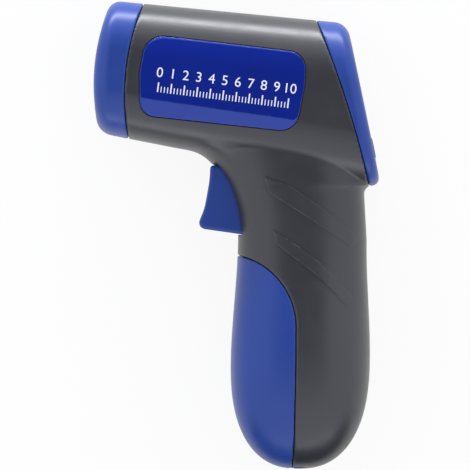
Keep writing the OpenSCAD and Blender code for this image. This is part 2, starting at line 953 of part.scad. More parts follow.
// Solid along a path, with a first and a last ring square to given directions
module sweep(path, radius, sides, first, last) {
    n = len(path);
    rings = [for (k = [0:n - 1]) let (
        f = k == 0 ? first : (k == n - 1 ? last : heading(path, k)),
        p = cross(f, [0.31, 0.23, 0.92]),
        u = p/norm(p),
        v = cross(f, u))
        each [for (i = [0:sides - 1]) let (a = 360*i/sides)
            path[k] + radius*(cos(a)*u + sin(a)*v)]];
    faces = concat(
        [[for (i = [0:sides - 1]) i]],
        [for (k = [0:n - 2], i = [0:sides - 1]) let (j = (i + 1) % sides)
            each [[k*sides + i, (k + 1)*sides + i, (k + 1)*sides + j],
                [k*sides + i, (k + 1)*sides + j, k*sides + j]]],
        [[for (i = [sides - 1:-1:0]) (n - 1)*sides + i]]);
    polyhedron(points = rings, faces = faces);
}

// Return spring behind the trigger
module trigger_spring() {
    path = helix(spring_turns, spring_radius - spring_wire,
        spring_end - spring_start - 2*spring_wire - 0.2, 12);
    color(steel)
        translate([spring_start + spring_wire + 0.1, spring_level, 0])
            sweep(path, spring_wire, 6, heading(path, 0), heading(path, len(path) - 1));
}

// Snap switch that the trigger works
module switch_body() {
    color(black)
        difference() {
            block([switch_start, plunger_level - switch_height/2, -switch_width/2],
                [switch_start + switch_depth, plunger_level + switch_height/2, switch_width/2]);
            translate([switch_start - 1, plunger_level, 0])
                rotate([0, 90, 0])
                    cylinder(r = plunger_radius + 0.15, h = 4.2, $fn = round_facets);
        }
}

// Plunger of the snap switch
module switch_plunger() {
    color(blue)
        translate([plunger_start, plunger_level, 0])
            rotate([0, 90, 0])
                cylinder(r = plunger_radius, h = plunger_length, $fn = round_facets);
}

// Plate behind the opening in the nose
module optics_panel() {
    color(black)
        difference() {
            nose_rod(panel_depth, panel_thickness, 0, 0, panel_radius);
            nose_rod(panel_depth - 1, panel_thickness + 2, lens_level, 0, lens_radius - 0.6);
            nose_rod(panel_depth - 1, panel_thickness + 2, laser_level, 0, beam_radius);
            for (s = [-1, 1])
                nose_rod(panel_depth - 1, panel_thickness + 2, 0, s*optics_screw_place,
                    optics_screw_radius + 0.1);
        }
}

// Screws that hold that plate
module optics_screws() {
    color(steel)
        for (s = [-1, 1])
            union() {
                nose_rod(barrel_start, 1, 0, s*optics_screw_place, optics_screw_head);
                nose_rod(panel_depth - optics_screw_depth, panel_thickness + optics_screw_depth + eps, 0,
                    s*optics_screw_place, optics_screw_radius);
            }
}

// Tube between the plate and the sensor board
module lens_barrel() {
    color(black)
        difference() {
            nose_rod(barrel_start, barrel_length, lens_level, 0, barrel_radius);
            nose_rod(barrel_start - 1, barrel_length + 2, lens_level, 0, lens_radius + lens_fit);
        }
}

// Lens that gathers the reflected light
module receiver_lens() {
    front = nose_point(barrel_start + lens_gap + lens_curve, lens_level);
    back = nose_point(barrel_start + lens_gap + lens_thickness - lens_curve, lens_level);
    color(glass)
        intersection() {
            nose_rod(barrel_start, 2*lens_thickness, lens_level, 0, lens_radius);
            translate([front.x, front.y, 0])
                sphere(r = lens_curve, $fn = 4*round_facets);
            translate([back.x, back.y, 0])
                sphere(r = lens_curve, $fn = 4*round_facets);
        }
}

// Light sensor behind the lens
module photodiode() {
    color(black)
        nose_rod(optics_board_start - diode_length, diode_length, lens_level, 0, diode_radius);
}

// Laser beside the lens
module laser_module() {
    color([0.72, 0.56, 0.25])
        difference() {
            nose_rod(barrel_start + 0.2, laser_length, laser_level, 0, laser_radius);
            nose_rod(barrel_start - 1, 3, laser_level, 0, beam_radius - 0.4);
        }
}

// Board that carries sensor and laser
module optics_board() {
    at = nose_point(optics_board_start, 0);
    color(green)
        translate([at.x, at.y, 0])
            rotate([0, 0, -nose_pitch])
                translate([0, -optics_board_height/2, -optics_board_width/2])
                    cube([board_thickness, optics_board_height, optics_board_width]);
}

// Flat cable between the two boards
module ribbon_cable() {
    start = optics_board_start + board_thickness;
    end = board_start + board_thickness;
    half = cable_thickness/2;
    upper = concat(
        [nose_point(start, cable_level_nose + half), nose_point(start + 6, cable_level_nose + half)],
        [for (t = [0.2:0.2:0.8]) between(nose_point(start + 6, cable_level_nose + half),
            rear_point(end + 6, cable_level_rear + half), t) - [0, 4*sin(180*t)]],
        [rear_point(end + 6, cable_level_rear + half), rear_point(end, cable_level_rear + half)]);
    lower = concat(
        [rear_point(end, cable_level_rear - half), rear_point(end + 6, cable_level_rear - half)],
        [for (t = [0.8:-0.2:0.1]) between(nose_point(start + 6, cable_level_nose - half),
            rear_point(end + 6, cable_level_rear - half), t) - [0, 4*sin(180*t)]],
        [nose_point(start + 6, cable_level_nose - half), nose_point(start, cable_level_nose - half)]);
    color([0.6, 0.6, 0.62])
        translate([0, 0, -cable_width/2])
            linear_extrude(height = cable_width)
                polygon(concat(upper, lower));
}

// Clear window over the display
module display_window() {
    color(glass)
        rear_plate(window_ledge - window_thickness, window_thickness, window_middle,
            window_height - 2*window_fit, window_width - 2*window_fit, window_corner - window_fit);
}

// Display glass
module lcd_panel() {
    color([0.62, 0.68, 0.6])
        rear_block(lcd_start, lcd_thickness, window_middle - lcd_height/2,
            window_middle + lcd_height/2, lcd_width);
}

// Light guide and frame behind the display glass
module lcd_frame() {
    color([0.9, 0.9, 0.88])
        rear_block(lcd_frame_start, lcd_frame_thickness, window_middle - lcd_height/2 + 0.5,
            window_middle + lcd_height/2 - 0.5, lcd_width - 1);
}

// Circuit board behind the display
module main_board() {
    color(green)
        difference() {
            rear_block(board_start, board_thickness, board_low, board_high, board_width);
            for (s = [-1, 1])
                rear_rod(board_start - 1, board_thickness + 2, board_screw_level, s*board_screw_place,
                    board_screw_radius + 0.1);
        }
}

// Controller on the circuit board
module controller_chip() {
    color(black)
        rear_block(board_start + board_thickness, chip_thickness, chip_level - chip_size/2,
            chip_level + chip_size/2 - 2.5, chip_size);
}

// Rubber mat with a dome below each key
module keypad() {
    color([0.5, 0.5, 0.5])
        union() {
            rear_block(board_start - keypad_base, keypad_base, board_low + 0.5, keypad_high,
                keypad_width);
            for (k = [-1:1])
                rear_rod(face_wall + key_flange_gap + key_flange_thickness + key_travel + 0.1,
                    board_start - keypad_base - face_wall - key_flange_gap - key_flange_thickness
                    - key_travel - 0.1 + eps, key_level, k*key_pitch, dome_radius);
        }
}

// One key with its flange behind the face
module key(place) {
    color(grey)
        union() {
            rear_rod(-key_rise, key_rise + face_wall + key_flange_gap + eps, key_level,
                place*key_pitch, key_radius);
            rear_rod(face_wall + key_flange_gap, key_flange_thickness, key_level, place*key_pitch,
                key_radius + key_flange);
        }
}

module button_left() {
    key(1);
}

module button_centre() {
    key(0);
}

module button_right() {
    key(-1);
}

// Screws that hold the circuit board to the rear frame
module board_screws() {
    color(steel)
        for (s = [-1, 1])
            union() {
                rear_rod(board_start + board_thickness, board_screw_head_height, board_screw_level,
                    s*board_screw_place, board_screw_head);
                rear_rod(board_start + board_thickness - board_screw_length, board_screw_length + eps,
                    board_screw_level, s*board_screw_place, board_screw_radius);
            }
}

// Nine-volt battery
module battery() {
    color([0.2, 0.2, 0.22])
        union() {
            translate([snap_middle, battery_low, 0])
                rotate([-90, 0, 0])
                    linear_extrude(height = battery_height)
                        polygon(rounded(battery_depth, battery_width, 2, 4));
            for (s = [-1, 1])
                translate([snap_middle, battery_high - eps, s*terminal_pitch/2])
                    rotate([-90, 0, 0])
                        cylinder(r = s > 0 ? terminal_large : terminal_small,
                            h = terminal_height + eps, $fn = round_facets);
        }
}

// Snap connector on the battery
module battery_snap() {
    color(black)
        difference() {
            translate([snap_middle, battery_high + 0.1, 0])
                rotate([-90, 0, 0])
                    linear_extrude(height = snap_height)
                        polygon(rounded(snap_depth, snap_width, 2, 4));
            for (s = [-1, 1])
                translate([snap_middle, battery_high - 1, s*terminal_pitch/2])
                    rotate([-90, 0, 0])
                        cylinder(r = (s > 0 ? terminal_large : terminal_small) + 0.2,
                            h = terminal_height + 1.2, $fn = round_facets);
        }
}

// Route of a battery lead on one side
function lead_route(out) = let (
    start = [snap_middle, battery_high + 0.1 + snap_height],
    end = rear_point(board_start + board_thickness, board_low + 3),
    way = [start, start + [0.3, 1.8], start + [3, 4], between(start, end, 0.38) + [1, -2.2],
        between(start, end, 0.6) + [2.2, -3], between(start, end, 0.8) + [1.4, -2],
        rear_point(board_start + board_thickness + 2.2, board_low + 2.6), end])
    [for (k = [0:len(way) - 2], t = [0:0.5:(k == len(way) - 2 ? 1 : 0.6)]) let (
        p = way[max(0, k - 1)],
        q = way[k],
        r = way[k + 1],
        s = way[min(len(way) - 1, k + 2)],
        m = 0.5*(2*q + t*(r - p) + t*t*(2*p - 5*q + 4*r - s) + t*t*t*(3*q - p - 3*r + s)))
        [m.x, m.y, out]];

module battery_lead(out) {
    sweep(lead_route(out), lead_radius, lead_sides, [0, 1, 0], [rear_axis.x, rear_axis.y, 0]);
}

module battery_lead_red() {
    color([0.7, 0.08, 0.08])
        battery_lead(lead_spread);
}

module battery_lead_black() {
    color(black)
        battery_lead(-lead_spread);
}

// Bulkhead and shelf that seat the battery
module battery_tray() {
    color(grey)
        intersection() {
            grip_solid(wall + fit + lip_wall + fit);
            union() {
                block([battery_back + battery_fit, battery_low - 4, -far],
                    [battery_back + battery_fit + tray_wall, tray_high, far]);
                block([shelf_front, battery_low - battery_fit - tray_wall, -far],
                    [battery_back + battery_fit + tray_wall, battery_low - battery_fit, far]);
                for (s = [-1, 1])
                    block([cover_seam - 6, battery_low + 6, s > 0 ? battery_width/2 + battery_fit
                        : -battery_width/2 - battery_fit - tray_wall],
                        [battery_back + battery_fit + tray_wall, battery_high - 6, s > 0
                        ? battery_width/2 + battery_fit + tray_wall : -battery_width/2 - battery_fit]);
            }
        }
}

// Height of the resting part's middle above the floor
rest_height = max(head_width, grip_width)/2;

translate([0, 0, rest_height]) {
    left_shell();
    right_shell();
    nose_bezel();
    rear_bezel();
    battery_cover();
    cover_hinge_pin();
    side_label();
    shell_screws();
    trigger();
    trigger_pin();
    trigger_spring();
    switch_body();
    switch_plunger();
    optics_panel();
    optics_screws();
    lens_barrel();
    receiver_lens();
    photodiode();
    laser_module();
    optics_board();
    ribbon_cable();
    display_window();
    lcd_panel();
    lcd_frame();
    main_board();
    controller_chip();
    keypad();
    button_left();
    button_centre();
    button_right();
    board_screws();
    battery();
    battery_snap();
    battery_lead_red();
    battery_lead_black();
    battery_tray();
}
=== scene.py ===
"""Laser tachometer: models its moulded pieces and dresses the whole part.

The file is laid out as an add-on and run as a script. Lengths in the form section are in
millimetres, in the part's own plane, and become metres where a mesh is placed.
"""
import json
from math import copysign, cos, pi, radians, sin, sqrt, tan

import bpy
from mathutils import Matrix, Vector


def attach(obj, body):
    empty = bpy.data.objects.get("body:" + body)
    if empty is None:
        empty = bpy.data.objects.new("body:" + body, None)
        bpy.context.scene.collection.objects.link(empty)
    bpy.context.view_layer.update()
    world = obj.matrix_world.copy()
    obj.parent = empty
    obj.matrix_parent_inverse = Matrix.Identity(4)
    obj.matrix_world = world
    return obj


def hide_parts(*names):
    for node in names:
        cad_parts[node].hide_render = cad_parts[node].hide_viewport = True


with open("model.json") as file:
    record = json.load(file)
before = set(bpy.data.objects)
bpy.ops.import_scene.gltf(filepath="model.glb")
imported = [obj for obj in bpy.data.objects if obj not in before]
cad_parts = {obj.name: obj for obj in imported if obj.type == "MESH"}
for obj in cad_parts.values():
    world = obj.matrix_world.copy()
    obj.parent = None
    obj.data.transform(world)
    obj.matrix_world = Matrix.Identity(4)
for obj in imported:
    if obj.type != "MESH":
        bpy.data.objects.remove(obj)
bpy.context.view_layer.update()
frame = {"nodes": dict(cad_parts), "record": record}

bl_info = {
    "name": "Laser Tachometer",
    "version": (1, 0, 0),
    "blender": (4, 5, 0),
    "location": "View3D > Sidebar > Tachometer",
    "description": "Models and dresses a pistol-grip laser tachometer",
    "category": "Object",
}

MM = 0.001
FAR = 150.0
SQUARE = [(-FAR, -FAR), (FAR, -FAR), (FAR, FAR), (-FAR, FAR)]
EASE = 0.02

# Form: that of the CAD source, with the small changes that the looks need

REST = 21.0
HEAD_WIDTH = 42.0
HEAD_POWER = 3.0
FLAT_GAIN = 1.012
NOSE_PITCH = radians(5.5)
REAR_RAKE = radians(11.7)
SLOPE = radians(11.1)
NOSE_EDGE = 5.0
REAR_EDGE = 4.2
NOSE_BOW = 2.2
NOSE_HEIGHT = 43.9
TOP_LENGTH = 79.6
NOSE_HIGH = Vector((-42.3, 77.77))
NOSE_AXIS = Vector((cos(NOSE_PITCH), -sin(NOSE_PITCH)))
NOSE_UP = Vector((sin(NOSE_PITCH), cos(NOSE_PITCH)))
REAR_AXIS = Vector((cos(REAR_RAKE), sin(REAR_RAKE)))
REAR_UP = Vector((-sin(REAR_RAKE), cos(REAR_RAKE)))
UNDER_AXIS = Vector((cos(SLOPE), -sin(SLOPE)))


def cross(a, b):
    """Cross product of two plane vectors."""
    return a.x * b.y - a.y * b.x


NOSE_LOW = NOSE_HIGH - NOSE_HEIGHT * NOSE_UP
REAR_HIGH = NOSE_HIGH + TOP_LENGTH * NOSE_AXIS
REAR_LOW = REAR_HIGH - REAR_UP * (cross(REAR_HIGH - NOSE_LOW, UNDER_AXIS)
                                  / cross(REAR_UP, UNDER_AXIS))
NOSE_MID = (NOSE_HIGH + NOSE_LOW) / 2
REAR_MID = (REAR_HIGH + REAR_LOW) / 2
HEAD_LENGTH = (REAR_MID - NOSE_MID).length
NOSE_END = (NOSE_MID, NOSE_AXIS, NOSE_UP)
REAR_END = (REAR_MID, -REAR_AXIS, REAR_UP)


def underside_at(x):
    """Height of the head's underside at a place along it."""
    return NOSE_LOW.y - (x - NOSE_LOW.x) * tan(SLOPE)


GRIP_PLACE = 22.15
GRIP_TOP = underside_at(GRIP_PLACE)
NECK = GRIP_TOP - 22.2
BELLY = GRIP_TOP - 62.2
FOOT = GRIP_TOP - 98.0
GRIP_SIZE = (46.1, 42.0)
NECK_SIZE = (42.6, 36.0)
NECK_FRONT = GRIP_PLACE - NECK_SIZE[0] / 2
THROAT_REACH = 19.5
THROAT_START = NECK_FRONT - THROAT_REACH
THROAT_HEIGHT = underside_at(THROAT_START) - NECK
THROAT_RISE = 12.0
THROAT_BLEND = (Vector((-14.0, 29.2)), Vector((-6.0, 28.8)), 9.0)
BACK_SLOPE = 0.055
BACK_FILLET = 3.0
BACK_FILLET_LEVEL = underside_at(GRIP_PLACE + NECK_SIZE[0] / 2) - BACK_FILLET
LEAN = tan(radians(1.0))
CAP_POWER = 2.4
GRIP_POWER = 2.5

WALL = 2.0
GAP = 0.42
FIT = 0.25
LIP_WALL = 1.3
LIP = 3.2
LIP_TOP = NECK - 1.9
RIDGE = 0.4
RIDGE_GAP = 0.06
RIDGE_ROOT = 1.5
RIDGE_BACK = 0.6
NOSE_SEAM_R = 77.8
NOSE_SEAM_DROP = 14.0
NOSE_SEAM_START = 11.2
NOSE_SEAM_SPAN = (150, 196)
NOSE_SEAM_MID = NOSE_LOW + NOSE_SEAM_START * UNDER_AXIS + Vector(
    (sqrt(NOSE_SEAM_R ** 2 - NOSE_SEAM_DROP ** 2), NOSE_SEAM_DROP))
REAR_SEAM_R = 336.0
REAR_SEAM_SPAN = (10, 25)
REAR_SEAM_TOP = REAR_HIGH - 10.1 * NOSE_AXIS
REAR_SEAM_HALF = (REAR_LOW - 4.0 * UNDER_AXIS - REAR_SEAM_TOP) / 2
REAR_SEAM_MID = REAR_SEAM_TOP + REAR_SEAM_HALF + Vector(
    (REAR_SEAM_HALF.y, -REAR_SEAM_HALF.x)).normalized() * sqrt(
        REAR_SEAM_R ** 2 - REAR_SEAM_HALF.length ** 2)
COVER_SEAM = GRIP_PLACE - 2.05
COVER_LEAN = [(FOOT, 1.2), (FOOT + 9.5, 0.65), (FOOT + 23.0, 0.3), (FOOT + 36.0, 0.05)]
COVER_R = 24.5
COVER_MID = Vector((COVER_SEAM - COVER_R, GRIP_TOP - 51.15))
KNUCKLE_R = 2.2
KNUCKLE_IN = 3.0
KNUCKLE_OUT = 4.8
KNUCKLE_GAP = 0.25
KNUCKLE_ROOM = 0.35
LUG_REACH = 3.5 * KNUCKLE_R
LUG_INSET = 0.2
WEB_REACH = 2.5 * KNUCKLE_R
WEB_RISE = 0.8
HINGE = Vector((GRIP_PLACE - 1.5, FOOT + KNUCKLE_R + 0.05))
HINGE_BORE = 0.85
HINGE_PIN = 0.75
PIN_HALF = 5.2
PIN_PLAY = 0.1
BORE_HALF = 20

TRIGGER_HOME = Vector((NECK_FRONT, NECK))
PIVOT = TRIGGER_HOME + Vector((-0.1, 26.2))
TRIGGER_WIDTH = 15.0
TRIGGER_FIT = 0.18
TRIGGER_BOSS = 3.6
TRIGGER_BORE = 1.6
TRIGGER_TOP = 24.4
TRIGGER_RISE = 0.3
TRIGGER_FRONT = [(-9.2, 24.4), (-9.5, 20.0), (-10.15, 15.9), (-11.2, 10.6), (-12.7, 6.6)]
TRIGGER_TIP = [(-12.85, 5.4), (-12.4, 4.3), (-11.4, 3.6)]
TRIGGER_REAR = 5.4
TRIGGER_HEEL = 1.2
RIM_SEGMENTS = 6
RIM_ANGLE = radians(50)
RIM_ROUNDS = 3
CURVE_STEPS = 6
SPRING_LEVEL = TRIGGER_HOME.y + 7.4
SPRING_ROOM = 4.2
SPRING_STROKE = 3.4
TRIGGER_SWINGS = (0, 2, 4, 6, 8)

BAND_A = [(9.2, 21.2), (13.5, 19.5), (18.6, 17.4), (24.9, 13.1), (30, 9.6), (33.4, 7), (41, 0.5),
          (38, -2.5), (28.7, 3.9), (24.1, 7.2), (18.6, 10.6), (10.9, 15.5)]
BAND_B = [(12.3, 3.4), (22.4, -3.3), (27.9, -7.6), (32.6, -12.2), (39, -19.5),
          (36, -21.5), (27.9, -13), (23.7, -9.3), (17.3, -4.6), (13.1, -1.2)]
BAND_HOME = TRIGGER_HOME - Vector((0.7, 0.0))
BAND_HEIGHT = 0.35
BAND_ROOT = 0.6
BAND_SHIFT = 0.45

LABEL_CORNERS = [((20.3, 17.2), 7.0), ((61.4, 17.1), 6.0), ((58.6, 22.1), 9.0),
                 ((60.4, 31.3), 6.3), ((19.0, 31.9), 5.2), ((21.8, 23.2), 9.0)]
LABEL_ROOM = 0.2
LABEL_SINK = 0.1
LABEL_THICK = 0.5
LABEL_BED = 0.05
LABEL_BOW = 1.3
LABEL_BOW_MID = NOSE_HIGH + 14 * NOSE_AXIS - 24 * NOSE_UP
LABEL_SHARES = (0.97, 0.92, 0.85, 0.75, 0.65, 0.55, 0.45, 0.35, 0.25, 0.15, 0.05)
SCALE_START = Vector((-25.75, 47.2))
SCALE_END = Vector((17.15, 41.9))
SCALE_ALONG = (SCALE_END - SCALE_START).normalized()
SCALE_UP = Vector((-SCALE_ALONG.y, SCALE_ALONG.x))
SCALE_TICKS = 40
TICKS_PER_NUMBER = 4
TICK_LONG = (0.45, 3.2)
TICK_SHORT = (0.3, 1.9)
NUMBER_SIZE = 4.6
NUMBER_RISE = 5.0
PRINT_THICK = 0.04

APERTURE_R = 14.0
APERTURE_REACH = 40
PANEL_DEPTH = 4.0
FACE_WALL = 2.4
WINDOW = (26.0, 22.0)
WINDOW_MID = 6.0
WINDOW_LEDGE = 1.5
WINDOW_RIM = 1.5
WINDOW_CORNERS = (2.0, 1.0)
WINDOW_REACH = 30
KEY_R = 3.5
KEY_LEVEL = -14.3
KEY_PITCH = 9.6
KEY_RISE = 0.3
KEY_PLAY = 0.2
KEY_REACH = 20
KEY_PROFILE = [(3.3, KEY_R + 0.5), (2.6, KEY_R + 0.5), (2.6, KEY_R), (-KEY_RISE + 0.5, KEY_R),
               (-KEY_RISE + 0.22, KEY_R - 0.08), (-KEY_RISE + 0.06, KEY_R - 0.25),
               (-KEY_RISE, KEY_R - 0.55), (-KEY_RISE + 0.1, KEY_R - 1.4),
               (-KEY_RISE + 0.2, KEY_R - 2.6)]
SCREW_PLACES = [NOSE_HIGH + 34 * NOSE_AXIS - 8 * NOSE_UP,
                NOSE_HIGH + 60 * NOSE_AXIS - 7.8 * NOSE_UP,
                NOSE_LOW + 22 * UNDER_AXIS + 7 * NOSE_UP,
                Vector((GRIP_PLACE + 14.5, NECK + 3.1)), Vector((GRIP_PLACE + 12, FOOT + 20))]
SCREW_SEAT = -8.0
SCREW_HEAD = 2.4
SCREW_WELL = 2.65
SCREW_SHANK = 1.25
SCREW_LENGTH = 15.0
SCREW_PLAY = 0.15
SCREW_PROFILE = [(-1.8, 1.5), (-1.72, 1.95), (-1.5, 2.2), (-1.1, SCREW_HEAD), (0.0, SCREW_HEAD),
                 (0.0, SCREW_SHANK), (SCREW_LENGTH, SCREW_SHANK)]
CROSS = (1.35, 0.32)
CROSS_FLOOR = 0.9
BOSS_R = 3.6

HEAD_POINTS = 160
GRIP_POINTS = 144
ARC_POINTS = 64
ROD_POINTS = 48


def signed_power(v, e):
    """Power that keeps the sign of its base."""
    return copysign(abs(v) ** e, v)


def mix(a, b, t):
    """Value between two others."""
    return a + (b - a) * t


def oval(count, power):
    """Points of a rounded square of half width 1."""
    turns = [2 * pi * i / count for i in range(count)]
    return [(signed_power(cos(t), 2 / power), signed_power(sin(t), 2 / power))
            for t in turns]


def head_ring(share, take, bow, flat=1.0):
    """One section of the head, at a share of its length, taken in by a distance."""
    low = NOSE_LOW.lerp(REAR_LOW, share)
    high = NOSE_HIGH.lerp(REAR_HIGH, share)
    up = (high - low).normalized()
    half_height = (high - low).length / 2 - take
    half_width = HEAD_WIDTH / 2 - take
    ring = []
    for c, s in oval(HEAD_POINTS, HEAD_POWER):
        p = (low + high) / 2 + half_height * c * up - bow * (1 - c * c) * NOSE_AXIS
        ring.append((p.x, p.y, flat * half_width * max(-1, min(1, FLAT_GAIN * s))))
    return ring


def head_rings(inset, ends, steps=9):
    """All sections of the head from the middle of the nose to that of the display face."""
    rings = []
    for start, towards, edge, bow in ((0, 1, NOSE_EDGE, NOSE_BOW), (1, -1, REAR_EDGE, 0)):
        edge = max(0.6, edge - inset)
        side = []
        for k in range(steps + 1):
            a = pi / 2 * k / steps
            side.append((start + towards * (ends + edge * (1 - sin(a))) / HEAD_LENGTH,
                         inset + edge * (1 - cos(a))))
        end = [head_ring(share, take, bow) for share, take in side]
        end += [head_ring(*side[-1], bow, flat) for flat in (0.8, 0.5, 0.2, 0.0)]
        rings += end if start else end[::-1]
    return rings


def cap_share(y):
    """Share of the grip's full section left in its egg end."""
    if y > BELLY:
        return 1.0
    return max(0.0, 1 - ((BELLY - y) / (BELLY - FOOT)) ** CAP_POWER) ** (1 / CAP_POWER)


def half_size(y, axis):
    """Half depth or half width of the grip at a level."""
    t = min(1.0, max(0.0, (y - BELLY) / (NECK - BELLY)))
    return cap_share(y) * mix(GRIP_SIZE[axis], NECK_SIZE[axis], t * t * (3 - 2 * t)) / 2


def grip_front(y):
    """Front of the grip at a level, the concave throat included."""
    if y < NECK:
        return GRIP_PLACE + (y - NECK) * LEAN - half_size(y, 0)
    return THROAT_START + THROAT_REACH * sqrt(max(0.0, 1 - ((y - NECK) / THROAT_HEIGHT) ** 2))


def grip_back(y):
    """Back of the grip at a level."""
    if y < NECK:
        return GRIP_PLACE + (y - NECK) * LEAN + half_size(y, 0)
    rise = min(0.99 * BACK_FILLET, max(0.0, y - BACK_FILLET_LEVEL))
    flare = BACK_FILLET - sqrt(BACK_FILLET ** 2 - rise ** 2)
    return GRIP_PLACE + NECK_SIZE[0] / 2 - BACK_SLOPE * (y - NECK) + flare


def grip_ring(y, take, flat=1.0):
    """One section of the grip at a level, taken in by a distance."""
    front, back = grip_front(y) + take, grip_back(y) - take
    wide = half_size(y, 1) - take
    return [((front + back) / 2 + c * (back - front) / 2, y, flat * s * wide)
            for c, s in oval(GRIP_POINTS, GRIP_POWER)]


def grip_rings(inset, cap=28, belly=10, throat=22, fillet=8):
    """All sections of the grip from its foot to inside the head."""
    levels = [BELLY - (BELLY - FOOT) * cos(pi / 2 * k / cap) for k in range(cap)]
    levels += [mix(BELLY, NECK, k / belly) for k in range(belly)]
    curve = [NECK + THROAT_HEIGHT * sin(pi / 2 * k / throat) for k in range(throat + 1)]
    top = BACK_FILLET_LEVEL + BACK_FILLET
    levels += [y for y in curve if y < BACK_FILLET_LEVEL - 0.2]
    levels += [mix(BACK_FILLET_LEVEL, top, sin(pi / 2 * k / fillet))
               for k in range(fillet + 1)]
    levels += [y for y in curve if y > top + 0.2]
    levels.append(NECK + THROAT_HEIGHT + THROAT_RISE)
    start = FOOT + max(0.0, inset)
    levels = [start] + [y for y in levels if y > start + EASE]
    takes = [min(inset, half_size(y, 1) - 0.3) if inset > 0 else inset for y in levels]
    rings = [grip_ring(levels[0], takes[0], 0.0)]
    rings += [grip_ring(y, take) for y, take in zip(levels, takes)]
    rings.append(grip_ring(levels[-1], takes[-1], 0.0))
    return rings


def arc(mid, radius, start, end, count=ARC_POINTS):
    """Points along an arc, with its angles in degrees."""
    angles = [radians(mix(start, end, k / count)) for k in range(count + 1)]
    return [(mid.x + radius * cos(a), mid.y + radius * sin(a)) for a in angles]


def inside_nose(grow):
    """Plane region behind the nose seam."""
    line = arc(NOSE_SEAM_MID, NOSE_SEAM_R + grow, *NOSE_SEAM_SPAN)
    return line + [(line[-1][0], -FAR), (FAR, -FAR), (FAR, FAR), (line[0][0], FAR)]


def outside_nose(grow):
    """Plane region in front of the nose seam."""
    line = arc(NOSE_SEAM_MID, NOSE_SEAM_R + grow, *NOSE_SEAM_SPAN)
    return line + [(-FAR, line[-1][1]), (-FAR, line[0][1])]


def inside_rear(grow):
    """Plane region in front of the rear seam."""
    line = arc(REAR_SEAM_MID, REAR_SEAM_R + grow, *REAR_SEAM_SPAN)
    return line + [(-FAR, FAR + 50), (-FAR, -FAR), (line[0][0] + 20, -FAR)]


def outside_rear(grow):
    """Plane region behind the rear seam."""
    line = arc(REAR_SEAM_MID, REAR_SEAM_R + grow, *REAR_SEAM_SPAN)
    return line + [(FAR, line[-1][1]), (FAR, line[0][1])]


def cover_area(grow):
    """Plane region of the battery cover."""
    line = arc(COVER_MID, COVER_R + grow, 0, 90)
    lean = [(COVER_SEAM + grow - shift, y) for y, shift in COVER_LEAN]
    return line + [(-FAR, line[-1][1]), (-FAR, -FAR), (lean[0][0], -FAR)] + lean


def hull(points):
    """Convex outline round plane points, anticlockwise."""
    points = sorted(set(points))
    sides = []
    for run in (points, points[::-1]):
        line = []
        for p in run:
            while len(line) > 1 and ((line[-1][0] - line[-2][0]) * (p[1] - line[-2][1])
                                     <= (line[-1][1] - line[-2][1]) * (p[0] - line[-2][0])):
                line.pop()
            line.append(p)
        sides += line[:-1]
    return sides


def evenly(outline, count):
    """Closed outline with evenly spaced points."""
    ends = [Vector(p) for p in outline] + [Vector(outline[0])]
    steps = [(b - a).length for a, b in zip(ends, ends[1:])]
    total, points, k, done = sum(steps), [], 0, 0.0
    for i in range(count):
        want = total * i / count
        while done + steps[k] < want:
            done += steps[k]
            k += 1
        p = ends[k].lerp(ends[k + 1], (want - done) / steps[k])
        points.append((p.x, p.y))
    return points


def offset(outline, distance):
    """Anticlockwise outline moved outwards by a distance."""
    count, moved = len(outline), []
    for i in range(count):
        a, b, c = (Vector(outline[j % count]) for j in (i - 1, i, i + 1))
        n1, n2 = ((Vector((d.y, -d.x))).normalized() for d in (b - a, c - b))
        p = b + (n1 + n2) * (distance / (1 + n1.dot(n2)))
        moved.append((p.x, p.y))
    return moved


def label_outline(grow, count=192):
    """Outline of the side label."""
    cloud = []
    for (along, below), radius in LABEL_CORNERS:
        mid = NOSE_HIGH + along * NOSE_AXIS - below * NOSE_UP
        cloud += [(round(x, 5), round(y, 5)) for x, y in arc(mid, radius + grow, 0, 360)]
    return evenly(hull(cloud), count)


def side_height(x, y):
    """Height of the head's side above the middle plane at a place away from its ends."""
    p = Vector((x, y))
    share = 0.5
    for _ in range(12):
        low, high = NOSE_LOW.lerp(REAR_LOW, share), NOSE_HIGH.lerp(REAR_HIGH, share)
        up = (high - low).normalized()
        share += cross(p - low, up) / HEAD_LENGTH
    c = min(1.0, abs((p - (low + high) / 2).dot(up)) / ((high - low).length / 2))
    return HEAD_WIDTH / 2 * min(1.0, FLAT_GAIN * (1 - c ** HEAD_POWER) ** (1 / HEAD_POWER))


def trigger_outline(top=TRIGGER_TOP):
    """Trigger's blade as an anticlockwise outline with a smooth front."""
    knots = [Vector((TRIGGER_FRONT[0][0], top))]
    knots += [Vector(p) for p in TRIGGER_FRONT[1:] + TRIGGER_TIP]
    knots = [2 * knots[0] - knots[1]] + knots + [2 * knots[-1] - knots[-2]]
    line = []
    for a, b, c, d in zip(knots, knots[1:], knots[2:], knots[3:]):
        for k in range(CURVE_STEPS):
            t = k / CURVE_STEPS
            line.append(0.5 * (2 * b + (c - a) * t + (2 * a - 5 * b + 4 * c - d) * t ** 2
                               + (3 * b - a - 3 * c + d) * t ** 3))
    line += [knots[-2], Vector((TRIGGER_REAR, TRIGGER_HEEL)), Vector((TRIGGER_REAR, top))]
    return [tuple(p + TRIGGER_HOME) for p in line]


def rounded(width, height, corner, count=8):
    """Points of a rectangle with rounded corners."""
    points = []
    for q, (sx, sy) in enumerate(((1, 1), (-1, 1), (-1, -1), (1, -1))):
        mid = Vector((sx * (width / 2 - corner), sy * (height / 2 - corner)))
        points += arc(mid, corner, 90 * q, 90 * q + 90, count)
    return points


def disc(radius, count=64):
    """Points of a circle round the origin."""
    return arc(Vector((0, 0)), radius, 0, 360 - 360 / count, count - 1)


# Modelling helpers


def deselect():
    """Leaves object mode with nothing selected."""
    if bpy.context.object and bpy.context.object.mode != "OBJECT":
        bpy.ops.object.mode_set(mode="OBJECT")
    bpy.ops.object.select_all(action="DESELECT")


